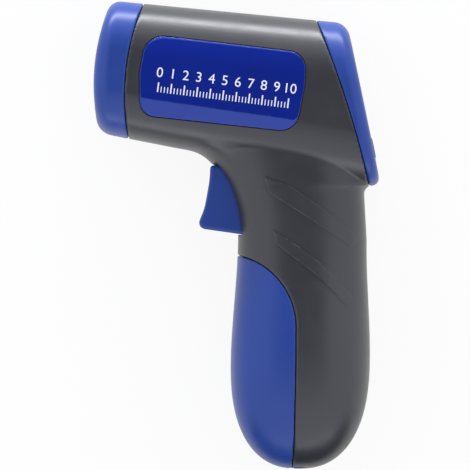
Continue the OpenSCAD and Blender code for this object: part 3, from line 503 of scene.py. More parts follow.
def activate(obj):
    """Makes an object the only selected and the active one."""
    deselect()
    obj.select_set(True)
    bpy.context.view_layer.objects.active = obj


def loft(name, rings, caps=False):
    """Extrudes a circle ring by ring and draws each ring out to its section, in millimetres."""
    deselect()
    count = len(rings[0])
    bpy.ops.mesh.primitive_circle_add(vertices=count, radius=1.0, fill_type="NOTHING")
    obj = bpy.context.object
    obj.name = obj.data.name = name
    order = {(round(v.co.x, 4), round(v.co.y, 4)): v.index for v in obj.data.vertices}
    bpy.ops.object.mode_set(mode="EDIT")
    bpy.ops.mesh.select_all(action="SELECT")
    if caps:
        bpy.ops.mesh.edge_face_add()
    for _ in rings[1:]:
        bpy.ops.mesh.extrude_region_move(TRANSFORM_OT_translate={"value": (0, 0, 1)})
    bpy.ops.object.mode_set(mode="OBJECT")
    for v in obj.data.vertices:
        x, y, z = rings[round(v.co.z)][order[round(v.co.x, 4), round(v.co.y, 4)]]
        v.co = (x * MM, y * MM, (z + REST) * MM)
    bpy.ops.object.mode_set(mode="EDIT")
    bpy.ops.mesh.select_all(action="SELECT")
    bpy.ops.mesh.remove_doubles(threshold=1e-6)
    bpy.ops.mesh.normals_make_consistent(inside=False)
    bpy.ops.object.mode_set(mode="OBJECT")
    return obj


def prism(name, outline, low, high):
    """Upright prism over a plane outline."""
    return loft(name, [[(x, y, z) for x, y in outline] for z in (low, high)], caps=True)


def column(outline):
    """Prism over a plane region that reaches through the whole part."""
    return prism("column", outline, -FAR, FAR)


def end_rod(name, end, stations, level=0.0, out=0.0):
    """Prism or turned form inwards from an end of the head, given by depths and outlines."""
    mid, axis, up = end
    rings = []
    for depth, outline in stations:
        points = [(mid + depth * axis + (level + u) * up, out + w) for w, u in outline]
        rings.append([(p.x, p.y, w) for p, w in points])
    return loft(name, rings, caps=True)


def twin(obj, name):
    """Copy of an object with its own mesh."""
    other = obj.copy()
    other.data = obj.data.copy()
    other.name = other.data.name = name
    bpy.context.scene.collection.objects.link(other)
    return other


def apply(obj, kind, **values):
    """Adds one modifier and applies it."""
    activate(obj)
    modifier = obj.modifiers.new(kind.title(), kind)
    for key, value in values.items():
        setattr(modifier, key, value)
    bpy.ops.object.modifier_apply(modifier=modifier.name)


def combine(obj, operation, tool):
    """Boolean of an object with a tool, which is then removed."""
    apply(obj, "BOOLEAN", operation=operation, solver="MANIFOLD", object=tool)
    if not obj.data.polygons:
        raise RuntimeError(f"{obj.name} is empty after {operation} with {tool.name}")
    bpy.data.objects.remove(tool)
    return obj


def add(obj, tool):
    """Joins a tool to an object."""
    return combine(obj, "UNION", tool)


def cut(obj, tool):
    """Takes a tool out of an object."""
    return combine(obj, "DIFFERENCE", tool)


def clip(obj, tool):
    """Keeps what an object shares with a tool."""
    return combine(obj, "INTERSECT", tool)


def soften(obj, voxel, rounds):
    """Rounds all edges as a moulding has them and evens the faces out."""
    apply(obj, "REMESH", mode="VOXEL", voxel_size=voxel * MM)
    apply(obj, "SMOOTH", factor=0.5, iterations=rounds)
    shade(obj)


def mould(obj, kind):
    """Softens a piece by the settings of its kind."""
    sizes = bpy.context.scene.tacho_sizes
    soften(obj, getattr(sizes, kind + "_step") / MM, getattr(sizes, kind + "_rounds"))


def blend(obj, start, end, reach, rounds):
    """Smooths a crease away along a line of the side view."""
    weights = obj.vertex_groups.new(name="blend")
    line = end - start
    for v in obj.data.vertices:
        p = Vector((v.co.x, v.co.y)) / MM - start
        along = min(1.0, max(0.0, p.dot(line) / line.length_squared))
        share = (p - along * line).length / reach
        if share < 1:
            weights.add([v.index], (1 - share ** 2) ** 4, "REPLACE")
    apply(obj, "SMOOTH", factor=0.5, iterations=rounds, vertex_group="blend")
    obj.vertex_groups.clear()


def lighten(obj, limit):
    """Collapses faces until a piece has no more triangles than the limit."""
    triangles = sum(len(face.vertices) - 2 for face in obj.data.polygons)
    if triangles > limit:
        apply(obj, "DECIMATE", ratio=limit / triangles)


def shade(obj, angle=40):
    """Smooth shading up to an angle."""
    activate(obj)
    bpy.ops.object.shade_smooth_by_angle(angle=radians(angle))


def join(parts, name):
    """Joins like pieces into the first of them and names it."""
    deselect()
    for obj in parts:
        obj.select_set(True)
    bpy.context.view_layer.objects.active = parts[0]
    bpy.ops.object.join()
    parts[0].name = parts[0].data.name = name
    return parts[0]


def settle(obj, body, slot, *nodes, look=None):
    """Gives a finished piece its finish, body and the nodes it stands for."""
    obj.data.materials.clear()
    obj.data.materials.append(finish(look or slot))
    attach(obj, body)
    if nodes:
        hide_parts(*nodes)


# Finishes


def fill(made, inputs):
    """Sets a node's inputs. Their names have underscores for spaces."""
    for key, value in inputs.items():
        made.inputs[key.replace("_", " ")].default_value = value


def node(tree, kind, settings=None, **inputs):
    """New shader node with its settings and inputs."""
    made = tree.nodes.new("ShaderNode" + kind)
    for key, value in (settings or {}).items():
        setattr(made, key, value)
    fill(made, inputs)
    return made


def wire(tree, *links):
    """Links outputs to inputs, each given as node and socket, node and socket."""
    for source, out, target, into in links:
        tree.links.new(source.outputs[out], target.inputs[into])


def group(name, *outputs):
    """New shader group with its output node and the object's own coordinates."""
    tree = bpy.data.node_groups.new(name, "ShaderNodeTree")
    for label in outputs:
        tree.interface.new_socket(label, in_out="OUTPUT", socket_type="NodeSocketFloat")
    return tree, tree.nodes.new("NodeGroupOutput"), node(tree, "TexCoord")


def moulded_grain():
    """Fine pitted texture of a moulding and the slow drift of its tone."""
    tree, result, place = group("moulded_grain", "Height", "Tone")
    fine = node(tree, "TexNoise", Scale=2600.0, Detail=2.0, Roughness=0.6)
    slow = node(tree, "TexNoise", Scale=55.0, Detail=3.0, Roughness=0.5)
    wire(tree, (place, "Object", fine, "Vector"), (place, "Object", slow, "Vector"),
         (fine, "Fac", result, "Height"), (slow, "Fac", result, "Tone"))
    return tree


def handling():
    """Faint patches that hands leave on a gloss."""
    tree, result, place = group("handling", "Mask")
    patch = node(tree, "TexNoise", Scale=90.0, Detail=5.0, Roughness=0.65, Distortion=0.6)
    spread = node(tree, "MapRange", From_Min=0.42, From_Max=0.7)
    wire(tree, (place, "Object", patch, "Vector"), (patch, "Fac", spread, "Value"),
         (spread, "Result", result, "Mask"))
    return tree


def surface(name, colour, rough, drift=0.08, depth=0.01, smear=0.06, **values):
    """Principled material with moulded grain, tone drift and handling marks."""
    material = bpy.data.materials.new(name)
    material.use_nodes = True
    tree = material.node_tree
    shader = tree.nodes["Principled BSDF"]
    groups = bpy.data.node_groups
    texture = node(tree, "Group", {"node_tree": groups.get("moulded_grain") or moulded_grain()})
    marks = node(tree, "Group", {"node_tree": groups.get("handling") or handling()})
    tone = node(tree, "Mix", {"data_type": "RGBA"}, A=(*[c * (1 - drift) for c in colour], 1),
                B=(*[min(1, c * (1 + drift)) for c in colour], 1))
    gloss = node(tree, "MapRange", To_Min=rough, To_Max=min(1, rough + smear))
    bump = node(tree, "Bump", Strength=0.5, Distance=depth * MM)
    wire(tree, (texture, "Tone", tone, "Factor"), (tone, "Result", shader, "Base Color"),
         (marks, "Mask", gloss, "Value"), (gloss, "Result", shader, "Roughness"),
         (texture, "Height", bump, "Height"), (bump, "Normal", shader, "Normal"))
    fill(shader, values)
    return material


def bow_film(material):
    """Tilts the film's gloss as a bow along the label's own axis does."""
    tree = material.node_tree
    shader = tree.nodes["Principled BSDF"]
    grain = shader.inputs["Normal"].links[0].from_node
    shift = [-LABEL_BOW_MID.dot(axis) * MM for axis in (NOSE_AXIS, NOSE_UP)]
    place = node(tree, "TexCoord")
    turn = node(tree, "Mapping", Rotation=(0, 0, NOSE_PITCH), Location=(*shift, 0))
    split = node(tree, "SeparateXYZ")
    twist = node(tree, "Math", {"operation": "MULTIPLY"})
    bow = node(tree, "Bump", Strength=1.0, Distance=LABEL_BOW)
    wire(tree, (place, "Object", turn, "Vector"), (turn, "Vector", split, "Vector"),
         (split, "X", twist, 0), (split, "Y", twist, 1), (twist, "Value", bow, "Height"),
         (grain, "Normal", bow, "Normal"), (bow, "Normal", shader, "Normal"))


FINISHES = {
    "grey_plastic": ("grey", 0.36, dict(depth=0.012, Specular_IOR_Level=0.75)),
    "blue_plastic": ("blue", 0.36, dict(depth=0.006, Specular_IOR_Level=0.5)),
    "label_film": ("label", 0.07, dict(depth=0.002, smear=0.03, IOR=1.6, Specular_IOR_Level=1.0,
                                       Specular_Tint=(0.36, 0.5, 1.0, 1.0))),
    "label_print": ((0.75, 0.78, 0.84), 0.3, dict(drift=0.03)),
    "steel": ((0.56, 0.57, 0.58), 0.26, dict(depth=0.004, Metallic=1.0)),
    "black_plastic": ((0.012, 0.012, 0.014), 0.5, {}),
    "clear_glass": ((0.95, 0.97, 0.98), 0.02, dict(drift=0.01, depth=0.0003, smear=0.02,
                                                   Transmission_Weight=1.0, IOR=1.49)),
    "board": ((0.012, 0.09, 0.035), 0.35, dict(drift=0.2)),
    "brass": ((0.68, 0.47, 0.17), 0.25, dict(Metallic=1.0)),
    "lcd": ((0.36, 0.41, 0.33), 0.3, dict(drift=0.03, depth=0.001)),
    "white_plastic": ((0.78, 0.78, 0.75), 0.4, {}),
    "rubber": ((0.2, 0.2, 0.2), 0.7, dict(depth=0.02)),
    "key_plastic": ("grey", 0.45, dict(depth=0.01)),
    "red_lead": ((0.45, 0.01, 0.01), 0.4, {}),
    "black_lead": ((0.01, 0.01, 0.01), 0.4, {}),
    "cable": ((0.32, 0.32, 0.34), 0.5, {}),
    "battery_case": ((0.03, 0.03, 0.035), 0.32, dict(depth=0.003)),
}


def finish(kind):
    """Material by the name of its slot, made when it is first asked for."""
    name = "tacho_" + kind
    if name not in bpy.data.materials:
        colour, rough, values = FINISHES[kind]
        if isinstance(colour, str):
            colour = getattr(bpy.context.scene.tacho_colours, colour)
        made = surface(name, colour, rough, **values)
        if kind == "label_film":
            bow_film(made)
    return bpy.data.materials[name]


# Pieces


def whole_form(name, inset):
    """Head and grip as one solid taken in by a distance."""
    obj = loft(name, head_rings(inset, inset))
    return add(obj, loft("grip", grip_rings(inset)))


def half_space(sign):
    """Block on one side of the parting plane."""
    return prism("half", SQUARE, *((0, FAR) if sign > 0 else (-FAR, 0)))


def both_sides(near, far):
    """Span to the left of the parting plane and its mirror image."""
    return (near, far), (-far, -near)


def rod(name, at, radius, low, high):
    """Upright cylinder."""
    return prism(name, [(at.x + x, at.y + y) for x, y in disc(radius, ROD_POINTS)], low, high)


def box(name, low, high):
    """Block given by its two corners."""
    outline = [(low[0], low[1]), (high[0], low[1]), (high[0], high[1]), (low[0], high[1])]
    return prism(name, outline, low[2], high[2])


def grip_layer(outer, inner, shape):
    """Part of the grip between two insets and inside a plane region."""
    layer = loft("layer", grip_rings(outer))
    cut(layer, loft("inner", grip_rings(inner)))
    return clip(layer, column(shape))


def housing_wall():
    """Both halves of the housing in one, with its openings."""
    body = whole_form("housing", 0.0)
    cut(body, whole_form("cavity", WALL))
    clip(body, column(inside_nose(-GAP / 2)))
    clip(body, column(inside_rear(-GAP / 2)))
    cut(body, column(cover_area(GAP / 2)))
    slot = offset(trigger_outline(), TRIGGER_FIT)
    wide = TRIGGER_WIDTH / 2 + TRIGGER_FIT
    for degrees in TRIGGER_SWINGS:
        c, s = cos(radians(degrees)), sin(radians(degrees))
        turned = [(PIVOT.x + c * (x - PIVOT.x) - s * (y - PIVOT.y),
                   PIVOT.y + s * (x - PIVOT.x) + c * (y - PIVOT.y)) for x, y in slot]
        cut(body, prism("slot", turned, -wide, wide))
    inner = WALL + FIT
    lip = grip_layer(WALL / 2, inner + LIP_WALL, cover_area(LIP - FIT))
    cut(lip, column(cover_area(GAP / 2 + EASE)))
    tongue = grip_layer(inner, inner + LIP_WALL, cover_area(LIP))
    add(lip, cut(tongue, column(cover_area(-LIP))))
    clip(lip, box("reach", (-FAR, HINGE.y + 2 * KNUCKLE_R, -FAR), (FAR, LIP_TOP, FAR)))
    ridge = grip_layer(RIDGE, inner + LIP_WALL / 2, cover_area(GAP / 2 + RIDGE_BACK))
    cut(ridge, column(cover_area(RIDGE_GAP - GAP / 2)))
    clip(ridge, box("reach", (-FAR, -FAR, -FAR), (FAR, LIP_TOP, FAR)))
    return add(body, add(lip, ridge))


def hinge_bores(obj):
    """Room round the hinge for the cover's knuckles, and the pin's bore."""
    for low, high in both_sides(KNUCKLE_IN + EASE, KNUCKLE_OUT + KNUCKLE_GAP):
        cut(obj, rod("room", HINGE, KNUCKLE_R + KNUCKLE_ROOM, low, high))
    cut(obj, rod("bore", HINGE, HINGE_BORE, -PIN_HALF - PIN_PLAY, PIN_HALF + PIN_PLAY))


class TACHO_OT_shells(bpy.types.Operator):
    """Model both halves of the grey housing"""
    bl_idname = "tacho.shells"
    bl_label = "Housing Halves"

    def execute(self, context):
        sizes = context.scene.tacho_sizes
        whole = housing_wall()
        for sign, name, node_name in ((1, "housing_left", "left_shell"),
                                      (-1, "housing_right", "right_shell")):
            half = twin(whole, name)
            lug = rod("lug", HINGE, KNUCKLE_R, -KNUCKLE_IN, KNUCKLE_IN)
            add(lug, box("root", (HINGE.x, FOOT, -KNUCKLE_IN),
                         (HINGE.x + LUG_REACH, HINGE.y + KNUCKLE_R, KNUCKLE_IN)))
            add(half, clip(lug, whole_form("inside", LUG_INSET)))
            clip(half, half_space(sign))
            if sign < 0:
                stand = rod("post", SCREW_PLACES[0], BOSS_R, -FAR, -EASE)
                for place in SCREW_PLACES[1:]:
                    add(stand, rod("post", place, BOSS_R, -FAR, -EASE))
                add(half, clip(whole_form("posts", WALL / 2), stand))
                for place in SCREW_PLACES:
                    cut(half, rod("well", place, SCREW_WELL, -FAR, SCREW_SEAT))
                    cut(half, rod("hole", place, SCREW_SHANK + SCREW_PLAY, SCREW_SEAT - 1, 1))
            hinge_bores(half)
            mould(half, "shell")
            blend(half, *THROAT_BLEND, sizes.blend_rounds)
            lighten(half, sizes.shell_faces)
            if sign > 0:
                recess = prism("recess", label_outline(LABEL_ROOM), 0, FAR)
                bed = loft("bed", head_rings(LABEL_SINK + LABEL_THICK + LABEL_BED, 0.0))
                cut(half, cut(recess, bed))
            settle(half, "housing", "grey_plastic", node_name)
        bpy.data.objects.remove(whole)
        return {"FINISHED"}


class TACHO_OT_bands(bpy.types.Operator):
    """Model the slanted bands of the grip"""
    bl_idname = "tacho.bands"
    bl_label = "Grip Bands"

    def execute(self, context):
        for sign, name in ((1, "grip_bands_left"), (-1, "grip_bands_right")):
            areas = [column([(BAND_HOME.x + x, BAND_HOME.y + y) for x, y in band[::-1]])
                     for band in (BAND_A, BAND_B)]
            rings = [[(x - BAND_SHIFT, y, z) for x, y, z in ring]
                     for ring in grip_rings(-BAND_HEIGHT)]
            obj = clip(loft(name, rings), add(*areas))
            cut(obj, loft("below", grip_rings(BAND_ROOT)))
            clip(obj, half_space(sign))
            mould(obj, "band")
            settle(obj, "housing", "grey_plastic")
        return {"FINISHED"}


def head_band(inset, ends, reach, stop):
    """Part of the head's form inside one plane region and outside another."""
    band = loft("band", head_rings(inset, ends))
    return cut(clip(band, column(reach)), column(stop))


def head_frame(name, inside, outside, beyond):
    """Frame at an end of the head: sleeve behind its seam, ridge in the seam, and hollow."""
    obj = clip(loft(name, head_rings(0.0, 0.0)), column(outside(GAP / 2)))
    add(obj, head_band(WALL + FIT, WALL, inside(LIP), inside(-LIP)))
    add(obj, head_band(RIDGE, RIDGE, outside(RIDGE_GAP - GAP / 2), outside(GAP / 2 + RIDGE_ROOT)))
    hollow = loft("hollow", head_rings(WALL + FIT + LIP_WALL, 0.0))
    return cut(obj, clip(hollow, beyond))


class TACHO_OT_nose(bpy.types.Operator):
    """Model the blue ring round the nose"""
    bl_idname = "tacho.nose"
    bl_label = "Nose Ring"

    def execute(self, context):
        square = [p[::-1] for p in SQUARE]
        hole = [p[::-1] for p in disc(APERTURE_R, 128)]
        behind = end_rod("behind", NOSE_END, [(PANEL_DEPTH, square), (FAR, square)])
        obj = head_frame("nose_ring", inside_nose, outside_nose, behind)
        cut(obj, end_rod("aperture", NOSE_END, [(-APERTURE_REACH, hole), (APERTURE_REACH, hole)]))
        mould(obj, "frame")
        settle(obj, "housing", "blue_plastic", "nose_bezel")
        return {"FINISHED"}


class TACHO_OT_rear(bpy.types.Operator):
    """Model the blue frame round the display"""
    bl_idname = "tacho.rear"
    bl_label = "Display Frame"

    def execute(self, context):
        before = end_rod("before", REAR_END, [(FACE_WALL, SQUARE), (FAR, SQUARE)])
        obj = head_frame("display_bezel", inside_rear, outside_rear, before)
        outer = rounded(*WINDOW, WINDOW_CORNERS[0])
        cut(obj, end_rod("seat", REAR_END, [(-WINDOW_REACH, outer), (WINDOW_LEDGE, outer)],
                         WINDOW_MID))
        inner = rounded(*(side - 2 * WINDOW_RIM for side in WINDOW), WINDOW_CORNERS[1])
        cut(obj, end_rod("sight", REAR_END, [(-WINDOW_REACH, inner), (WINDOW_REACH, inner)],
                         WINDOW_MID))
        hole = disc(KEY_R + KEY_PLAY)
        for k in (-1, 0, 1):
            cut(obj, end_rod("hole", REAR_END, [(-KEY_REACH, hole), (KEY_REACH, hole)], KEY_LEVEL,
                             k * KEY_PITCH))
        mould(obj, "frame")
        settle(obj, "housing", "blue_plastic", "rear_bezel")
        return {"FINISHED"}


class TACHO_OT_cover(bpy.types.Operator):
    """Model the battery cover and its hinge pin"""
    bl_idname = "tacho.cover"
    bl_label = "Battery Cover"

    def execute(self, context):
        obj = grip_layer(0.0, WALL, cover_area(-GAP / 2))
        obj.name = obj.data.name = "cover_front"
        middle = KNUCKLE_IN + KNUCKLE_GAP
        for low, high in both_sides(middle, KNUCKLE_OUT):
            knuckle = rod("knuckle", HINGE, KNUCKLE_R, low, high)
            add(knuckle, box("web", (HINGE.x - WEB_REACH, HINGE.y - 3 * KNUCKLE_R, low),
                             (HINGE.x, HINGE.y + WEB_RISE, high)))
            add(obj, clip(knuckle, loft("inside", grip_rings(0.0))))
        cut(obj, box("notch", (HINGE.x - KNUCKLE_R - KNUCKLE_ROOM, FOOT - 1, -middle),
                     (FAR, FOOT - 1 + 3 * KNUCKLE_R, middle)))
        cut(obj, rod("bore", HINGE, HINGE_BORE, -BORE_HALF, BORE_HALF))
        mould(obj, "frame")
        settle(obj, "cover", "blue_plastic", "battery_cover")
        pin = rod("cover_pin", HINGE, HINGE_PIN, -PIN_HALF, PIN_HALF)
        shade(pin)
        settle(pin, "housing", "steel", "cover_hinge_pin")
        return {"FINISHED"}


class TACHO_OT_trigger(bpy.types.Operator):
    """Model the trigger"""
    bl_idname = "tacho.trigger"
    bl_label = "Trigger"

    def execute(self, context):
        rim = context.scene.tacho_sizes.trigger_rim / MM
        half = TRIGGER_WIDTH / 2
        obj = prism("trigger_blade", trigger_outline(TRIGGER_TOP + TRIGGER_RISE), -half, half)
        apply(obj, "BEVEL", width=rim * MM, segments=RIM_SEGMENTS, limit_method="ANGLE",
              angle_limit=RIM_ANGLE, use_clamp_overlap=False)
        add(obj, rod("boss", PIVOT, TRIGGER_BOSS, -half, half))
        cut(obj, rod("bore", PIVOT, TRIGGER_BORE, -FAR, FAR))
        back = TRIGGER_HOME.x + TRIGGER_REAR
        cut(obj, box("pocket", (back - SPRING_STROKE, SPRING_LEVEL - SPRING_ROOM, -SPRING_ROOM),
                     (FAR, SPRING_LEVEL + SPRING_ROOM, SPRING_ROOM)))
        soften(obj, rim / 5, RIM_ROUNDS)
        settle(obj, "trigger_lever", "blue_plastic", "trigger")
        return {"FINISHED"}


class TACHO_OT_label(bpy.types.Operator):
    """Model the side label"""
    bl_idname = "tacho.label"
    bl_label = "Side Label"

    def execute(self, context):
        outline = label_outline(-LABEL_ROOM / 2)
        mid = Vector((sum(p[0] for p in outline), sum(p[1] for p in outline))) / len(outline)
        edge = context.scene.tacho_sizes.label_edge / MM
        stations = [(1.0, 0.0, -LABEL_THICK), (1.0, 0.0, -edge), (1.0, 0.3 * edge, -0.3 * edge),
                    (1.0, edge, 0.0)]
        stations += [(share, edge, 0.0) for share in LABEL_SHARES]
        rings = []
        for share, take, drop in stations:
            ring = []
            for x, y in offset(outline, -take):
                x, y = mix(mid.x, x, share), mix(mid.y, y, share)
                ring.append((x, y, side_height(x, y) - LABEL_SINK + drop))
            rings.append(ring)
        obj = loft("label_plate", rings, caps=True)
        shade(obj)
        settle(obj, "housing", "label_film", "side_label")
        return {"FINISHED"}


def lay_on_label(obj, at):
    """Lays a flat mesh on the label with its origin at a place of the side view."""
    for v in obj.data.vertices:
        p = at + (v.co.x * SCALE_ALONG + v.co.y * SCALE_UP) / MM
        v.co = (p.x * MM, p.y * MM, v.co.z + (REST + side_height(p.x, p.y) - LABEL_SINK) * MM)


def tick(name, wide, tall):
    """Flat tick of the printed scale."""
    deselect()
    bpy.ops.mesh.primitive_cube_add(size=1.0)
    obj = bpy.context.object
    obj.name = obj.data.name = name
    for v in obj.data.vertices:
        v.co = (v.co.x * wide * MM, (v.co.y + 0.5) * tall * MM, v.co.z * PRINT_THICK * MM)
    return obj


class TACHO_OT_print(bpy.types.Operator):
    """Print a plain scale on the label"""
    bl_idname = "tacho.print"
    bl_label = "Label Print"

    def execute(self, context):
        long, short = tick("long", *TICK_LONG), tick("short", *TICK_SHORT)
        marks = []
        for k in range(SCALE_TICKS + 1):
            at = SCALE_START.lerp(SCALE_END, k / SCALE_TICKS)
            marks.append(twin(short if k % TICKS_PER_NUMBER else long, "mark"))
            lay_on_label(marks[-1], at)
            if k % TICKS_PER_NUMBER:
                continue
            deselect()
            bpy.ops.object.text_add()
            number = bpy.context.object
            number.data.body = str(k // TICKS_PER_NUMBER)
            number.data.align_x = "CENTER"
            number.data.size = NUMBER_SIZE * MM
            number.data.extrude = PRINT_THICK / 2 * MM
            bpy.ops.object.convert(target="MESH")
            lay_on_label(number, at + NUMBER_RISE * SCALE_UP)
            marks.append(number)
        for obj in (long, short):
            bpy.data.objects.remove(obj)
        settle(join(marks, "label_print"), "housing", "label_film", look="label_print")
        return {"FINISHED"}


class TACHO_OT_keys(bpy.types.Operator):
    """Model the three keys"""
    bl_idname = "tacho.keys"
    bl_label = "Keys"

    def execute(self, context):
        stations = [(depth, disc(radius)) for depth, radius in KEY_PROFILE]
        first = end_rod("key_cap_left", REAR_END, stations, KEY_LEVEL, KEY_PITCH)
        shade(first, 35)
        for k, name in enumerate(("left", "centre", "right")):
            obj = twin(first, f"key_cap_{name}") if k else first
            for v in obj.data.vertices:
                v.co.z -= k * KEY_PITCH * MM
            settle(obj, f"{name}_key", "key_plastic", f"button_{name}")
        return {"FINISHED"}


class TACHO_OT_screws(bpy.types.Operator):
    """Model the housing screws"""
    bl_idname = "tacho.screws"
    bl_label = "Housing Screws"

    def execute(self, context):
        at = SCREW_PLACES[0]
        rings = [[(at.x + x, at.y + y, SCREW_SEAT + z) for x, y in disc(r, ROD_POINTS)]
                 for z, r in SCREW_PROFILE]
        first = loft("screw", rings, caps=True)
        for long, wide in (CROSS, CROSS[::-1]):
            cut(first, box("slot", (at.x - long, at.y - wide, SCREW_SEAT - 3),
                           (at.x + long, at.y + wide, SCREW_SEAT - CROSS_FLOOR)))
        shade(first, 30)
        screws = [first]
        for place in SCREW_PLACES[1:]:
            other = twin(first, "screw")
            for v in other.data.vertices:
                v.co.x += (place.x - at.x) * MM
                v.co.y += (place.y - at.y) * MM
            screws.append(other)
        settle(join(screws, "housing_screws"), "housing", "steel", "shell_screws")
        return {"FINISHED"}


class TACHO_OT_finishes(bpy.types.Operator):
    """Give the CAD nodes that stay their finishes"""
    bl_idname = "tacho.finishes"
    bl_label = "Finishes"

    def execute(self, context):
        slots = {s["node"]: s["material_slot"] for s in frame["record"]["subparts"]}
        for name, obj in frame["nodes"].items():
            if not obj.hide_render:
                obj.data.materials.clear()
                obj.data.materials.append(finish(slots[name]))
        return {"FINISHED"}


# Stage

KEY_LAMP = (Vector((-0.05, 0.75, 0.09)), (1.0, 0.14))
FILL_LAMP = (Vector((0.1, -0.8, 0.2)), (1.2, 0.3))
LAMP_AIM = Vector((0, 0.05, 0.03))
LAMP_TINT = (0.95, 0.96, 1.0)
ROOM_TINT = (0.97, 0.975, 1.06, 1)
FLOOR_TINT = (0.85, 0.85, 0.85, 1)
FLOOR_SIZE = 6.0
FLOOR_LEVEL = -0.0002
FOOT_CARD_SPAN = (-0.1, 0.15)
FOOT_CARD_PLACE = -0.115
CAMERA_PLACE = (-0.00018, 0.00003)
CAMERA_SENSOR = 36.0
CAMERA_REACH = 20.0


def lamp(name, place, power):
    """Area lamp at a place and of a size, turned to the part."""
    light = bpy.data.lights.new(name, "AREA")
    light.shape = "RECTANGLE"
    light.size, light.size_y = place[1]
    light.energy = power
    light.color = LAMP_TINT
    obj = bpy.data.objects.new(name, light)
    bpy.context.scene.collection.objects.link(obj)
    obj.location = place[0]
    obj.rotation_euler = (LAMP_AIM - place[0]).to_track_quat("-Z", "Y").to_euler()


def dark_card(name, span, start, end):
    """Black card that only shows in the gloss of the part, drawn from one edge to the other."""
    deselect()
    bpy.ops.mesh.primitive_plane_add(size=1.0)
    card = bpy.context.object
    card.name = card.data.name = name
    corners = [(x, *edge) for edge in (start, end) for x in span]
    for v, corner in zip(card.data.vertices, corners):
        v.co = corner
    card.visible_camera = False
    card.visible_shadow = False
    card.visible_diffuse = False
    black = bpy.data.materials.new("card_black")
    black.use_nodes = True
    fill(black.node_tree.nodes["Principled BSDF"],
         {"Base Color": (0, 0, 0, 1), "Specular IOR Level": 0.0})
    card.data.materials.append(black)
    return card


class TACHO_OT_stage(bpy.types.Operator):
    """Set up floor, light and camera"""
    bl_idname = "tacho.stage"
    bl_label = "Stage"

    def execute(self, context):
        light = context.scene.tacho_light
        deselect()
        bpy.ops.mesh.primitive_plane_add(size=FLOOR_SIZE, location=(0, 0, FLOOR_LEVEL))
        floor = bpy.context.object
        floor.name = floor.data.name = "floor"
        material = bpy.data.materials.new("floor_white")
        material.use_nodes = True
        tree = material.node_tree
        tree.nodes.clear()
        diffuse = node(tree, "BsdfDiffuse", Color=FLOOR_TINT)
        glow = node(tree, "Emission", Strength=1.0)
        path = node(tree, "LightPath")
        either = node(tree, "Math", {"operation": "MAXIMUM"})
        share = node(tree, "Math", {"operation": "MULTIPLY"})
        share.inputs[1].default_value = light.floor_glow
        both = node(tree, "MixShader")
        out = node(tree, "OutputMaterial")
        wire(tree, (path, "Is Camera Ray", either, 0), (path, "Is Glossy Ray", either, 1),
             (either, 0, share, 0), (share, 0, both, "Fac"), (diffuse, 0, both, 1),
             (glow, 0, both, 2), (both, 0, out, "Surface"))
        floor.data.materials.append(material)

        wide, deep = light.card_width / 2, light.card_depth / 2
        dark_card("card_above", (-wide, wide), (light.card_shift - deep, light.card_height),
                  (light.card_shift + deep, light.card_height))
        foot = dark_card("card_foot", FOOT_CARD_SPAN, (FOOT_CARD_PLACE, 0),
                         (FOOT_CARD_PLACE, light.foot_card))
        foot.visible_shadow = True

        world = bpy.data.worlds.new("room")
        bpy.context.scene.world = world
        world.use_nodes = True
        fill(world.node_tree.nodes["Background"], {"Color": ROOM_TINT, "Strength": light.room})

        lamp("key", KEY_LAMP, light.key)
        lamp("fill", FILL_LAMP, light.fill)

        camera = bpy.data.cameras.new("camera")
        obj = bpy.data.objects.new("camera", camera)
        bpy.context.scene.collection.objects.link(obj)
        bpy.context.scene.camera = obj
        obj.location = (*CAMERA_PLACE, light.camera_height)
        camera.sensor_width = CAMERA_SENSOR
        camera.lens = camera.sensor_width * (light.camera_height - REST * MM) / light.picture_width
        camera.clip_end = CAMERA_REACH
        bpy.context.scene.view_settings.view_transform = "Standard"
        return {"FINISHED"}


# Add-on


def length(name, description, default):
    """Setting in metres."""
    return bpy.props.FloatProperty(name=name, description=description, default=default,
                                   unit="LENGTH", precision=5)


def tally(name, description, default):
    """Setting that is a whole number."""
    return bpy.props.IntProperty(name=name, description=description, default=default)


def tint(name, description, default):
    """Setting that is a linear colour."""
    return bpy.props.FloatVectorProperty(name=name, description=description, default=default,
                                         subtype="COLOR", size=3, min=0, max=1)


class TachoSizes(bpy.types.PropertyGroup):
    """Sizes of the modelled detail."""
    shell_step: length("Shell mesh step", "Mesh step of the two housing halves", 0.00045)
    shell_rounds: tally("Shell rounding", "Smoothing rounds of the housing halves", 4)
    shell_faces: tally("Shell triangles", "Most triangles of a housing half", 188000)
    blend_rounds: tally("Throat blend", "Smoothing rounds where the throat runs into the head", 200)
    frame_step: length("Frame mesh step", "Mesh step of the blue frames and the cover", 0.00035)
    frame_rounds: tally("Frame rounding", "Smoothing rounds of the blue frames", 6)
    band_step: length("Band mesh step", "Mesh step of the grip's bands", 0.0002)
    band_rounds: tally("Band rounding", "Smoothing rounds of the grip's bands", 3)
    trigger_rim: length("Trigger rim", "Radius of the trigger's rim", 0.0011)
    label_edge: length("Label edge", "Radius of the label's edge", 0.0002)


class TachoColours(bpy.types.PropertyGroup):
    """Colours of the part, linear."""
    grey: tint("Housing", "Colour of the grey housing", (0.025, 0.026, 0.031))
    blue: tint("Trim", "Colour of the blue pieces", (0.006, 0.040, 0.25))
    label: tint("Label", "Colour of the side label", (0.0065, 0.019, 0.225))


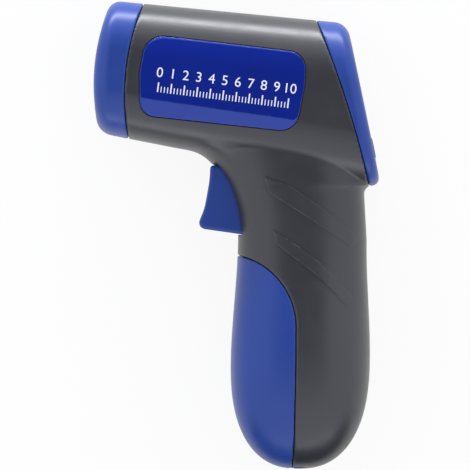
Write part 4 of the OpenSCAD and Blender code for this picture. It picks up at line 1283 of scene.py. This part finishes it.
class TachoLight(bpy.types.PropertyGroup):
    """Light and camera."""
    key: bpy.props.FloatProperty(
        name="Key lamp", description="Power of the lamp beyond the head", default=9.5, unit="POWER")
    fill: bpy.props.FloatProperty(
        name="Fill lamp", description="Power of the lamp below the grip", default=2.5, unit="POWER")
    room: bpy.props.FloatProperty(
        name="Room light", description="Strength of the even light of the room", default=1.0)
    card_height: length("Card height", "Height of the dark card above the floor", 0.6)
    card_width: length("Card width", "Width of the dark card", 0.5)
    card_depth: length("Card depth", "Depth of the dark card", 0.5)
    card_shift: length("Card shift", "Shift of the dark card towards the key lamp", 0.15)
    foot_card: length("Foot card", "Height of the dark card below the grip's foot", 0.05)
    floor_glow: bpy.props.FloatProperty(
        name="Floor white", description="Share of plain white in the floor", default=0.9,
        min=0, max=1, subtype="FACTOR")
    camera_height: length("Camera height", "Height of the camera above the floor", 5.0)
    picture_width: length("Picture width", "Width of the picture at the part's middle plane",
                          0.1557)


OPERATORS = (TACHO_OT_shells, TACHO_OT_bands, TACHO_OT_nose, TACHO_OT_rear, TACHO_OT_cover,
             TACHO_OT_trigger, TACHO_OT_label, TACHO_OT_print, TACHO_OT_keys, TACHO_OT_screws,
             TACHO_OT_finishes, TACHO_OT_stage)


class TACHO_PT_panel(bpy.types.Panel):
    """Lists the pieces of the tachometer in the sidebar"""
    bl_idname = "TACHO_PT_panel"
    bl_label = "Tachometer"
    bl_space_type = "VIEW_3D"
    bl_region_type = "UI"
    bl_category = "Tachometer"

    def draw(self, context):
        for settings in (context.scene.tacho_sizes, context.scene.tacho_colours,
                         context.scene.tacho_light):
            for name in settings.__annotations__:
                self.layout.prop(settings, name)
        for kind in OPERATORS:
            self.layout.operator(kind.bl_idname)


GROUPS = (("tacho_sizes", TachoSizes), ("tacho_colours", TachoColours), ("tacho_light", TachoLight))


def register():
    """Registers the settings, operators and panel."""
    for name, kind in GROUPS:
        bpy.utils.register_class(kind)
        setattr(bpy.types.Scene, name, bpy.props.PointerProperty(type=kind))
    for kind in (*OPERATORS, TACHO_PT_panel):
        bpy.utils.register_class(kind)


def unregister():
    """Takes them away again."""
    for kind in (TACHO_PT_panel, *reversed(OPERATORS)):
        bpy.utils.unregister_class(kind)
    for name, kind in GROUPS:
        delattr(bpy.types.Scene, name)
        bpy.utils.unregister_class(kind)


def main():
    """Registers the add-on and builds every piece in order."""
    register()
    for kind in OPERATORS:
        piece = kind.bl_idname.split(".")[1]
        getattr(bpy.ops.tacho, piece)()


if __name__ == "__main__":
    main()
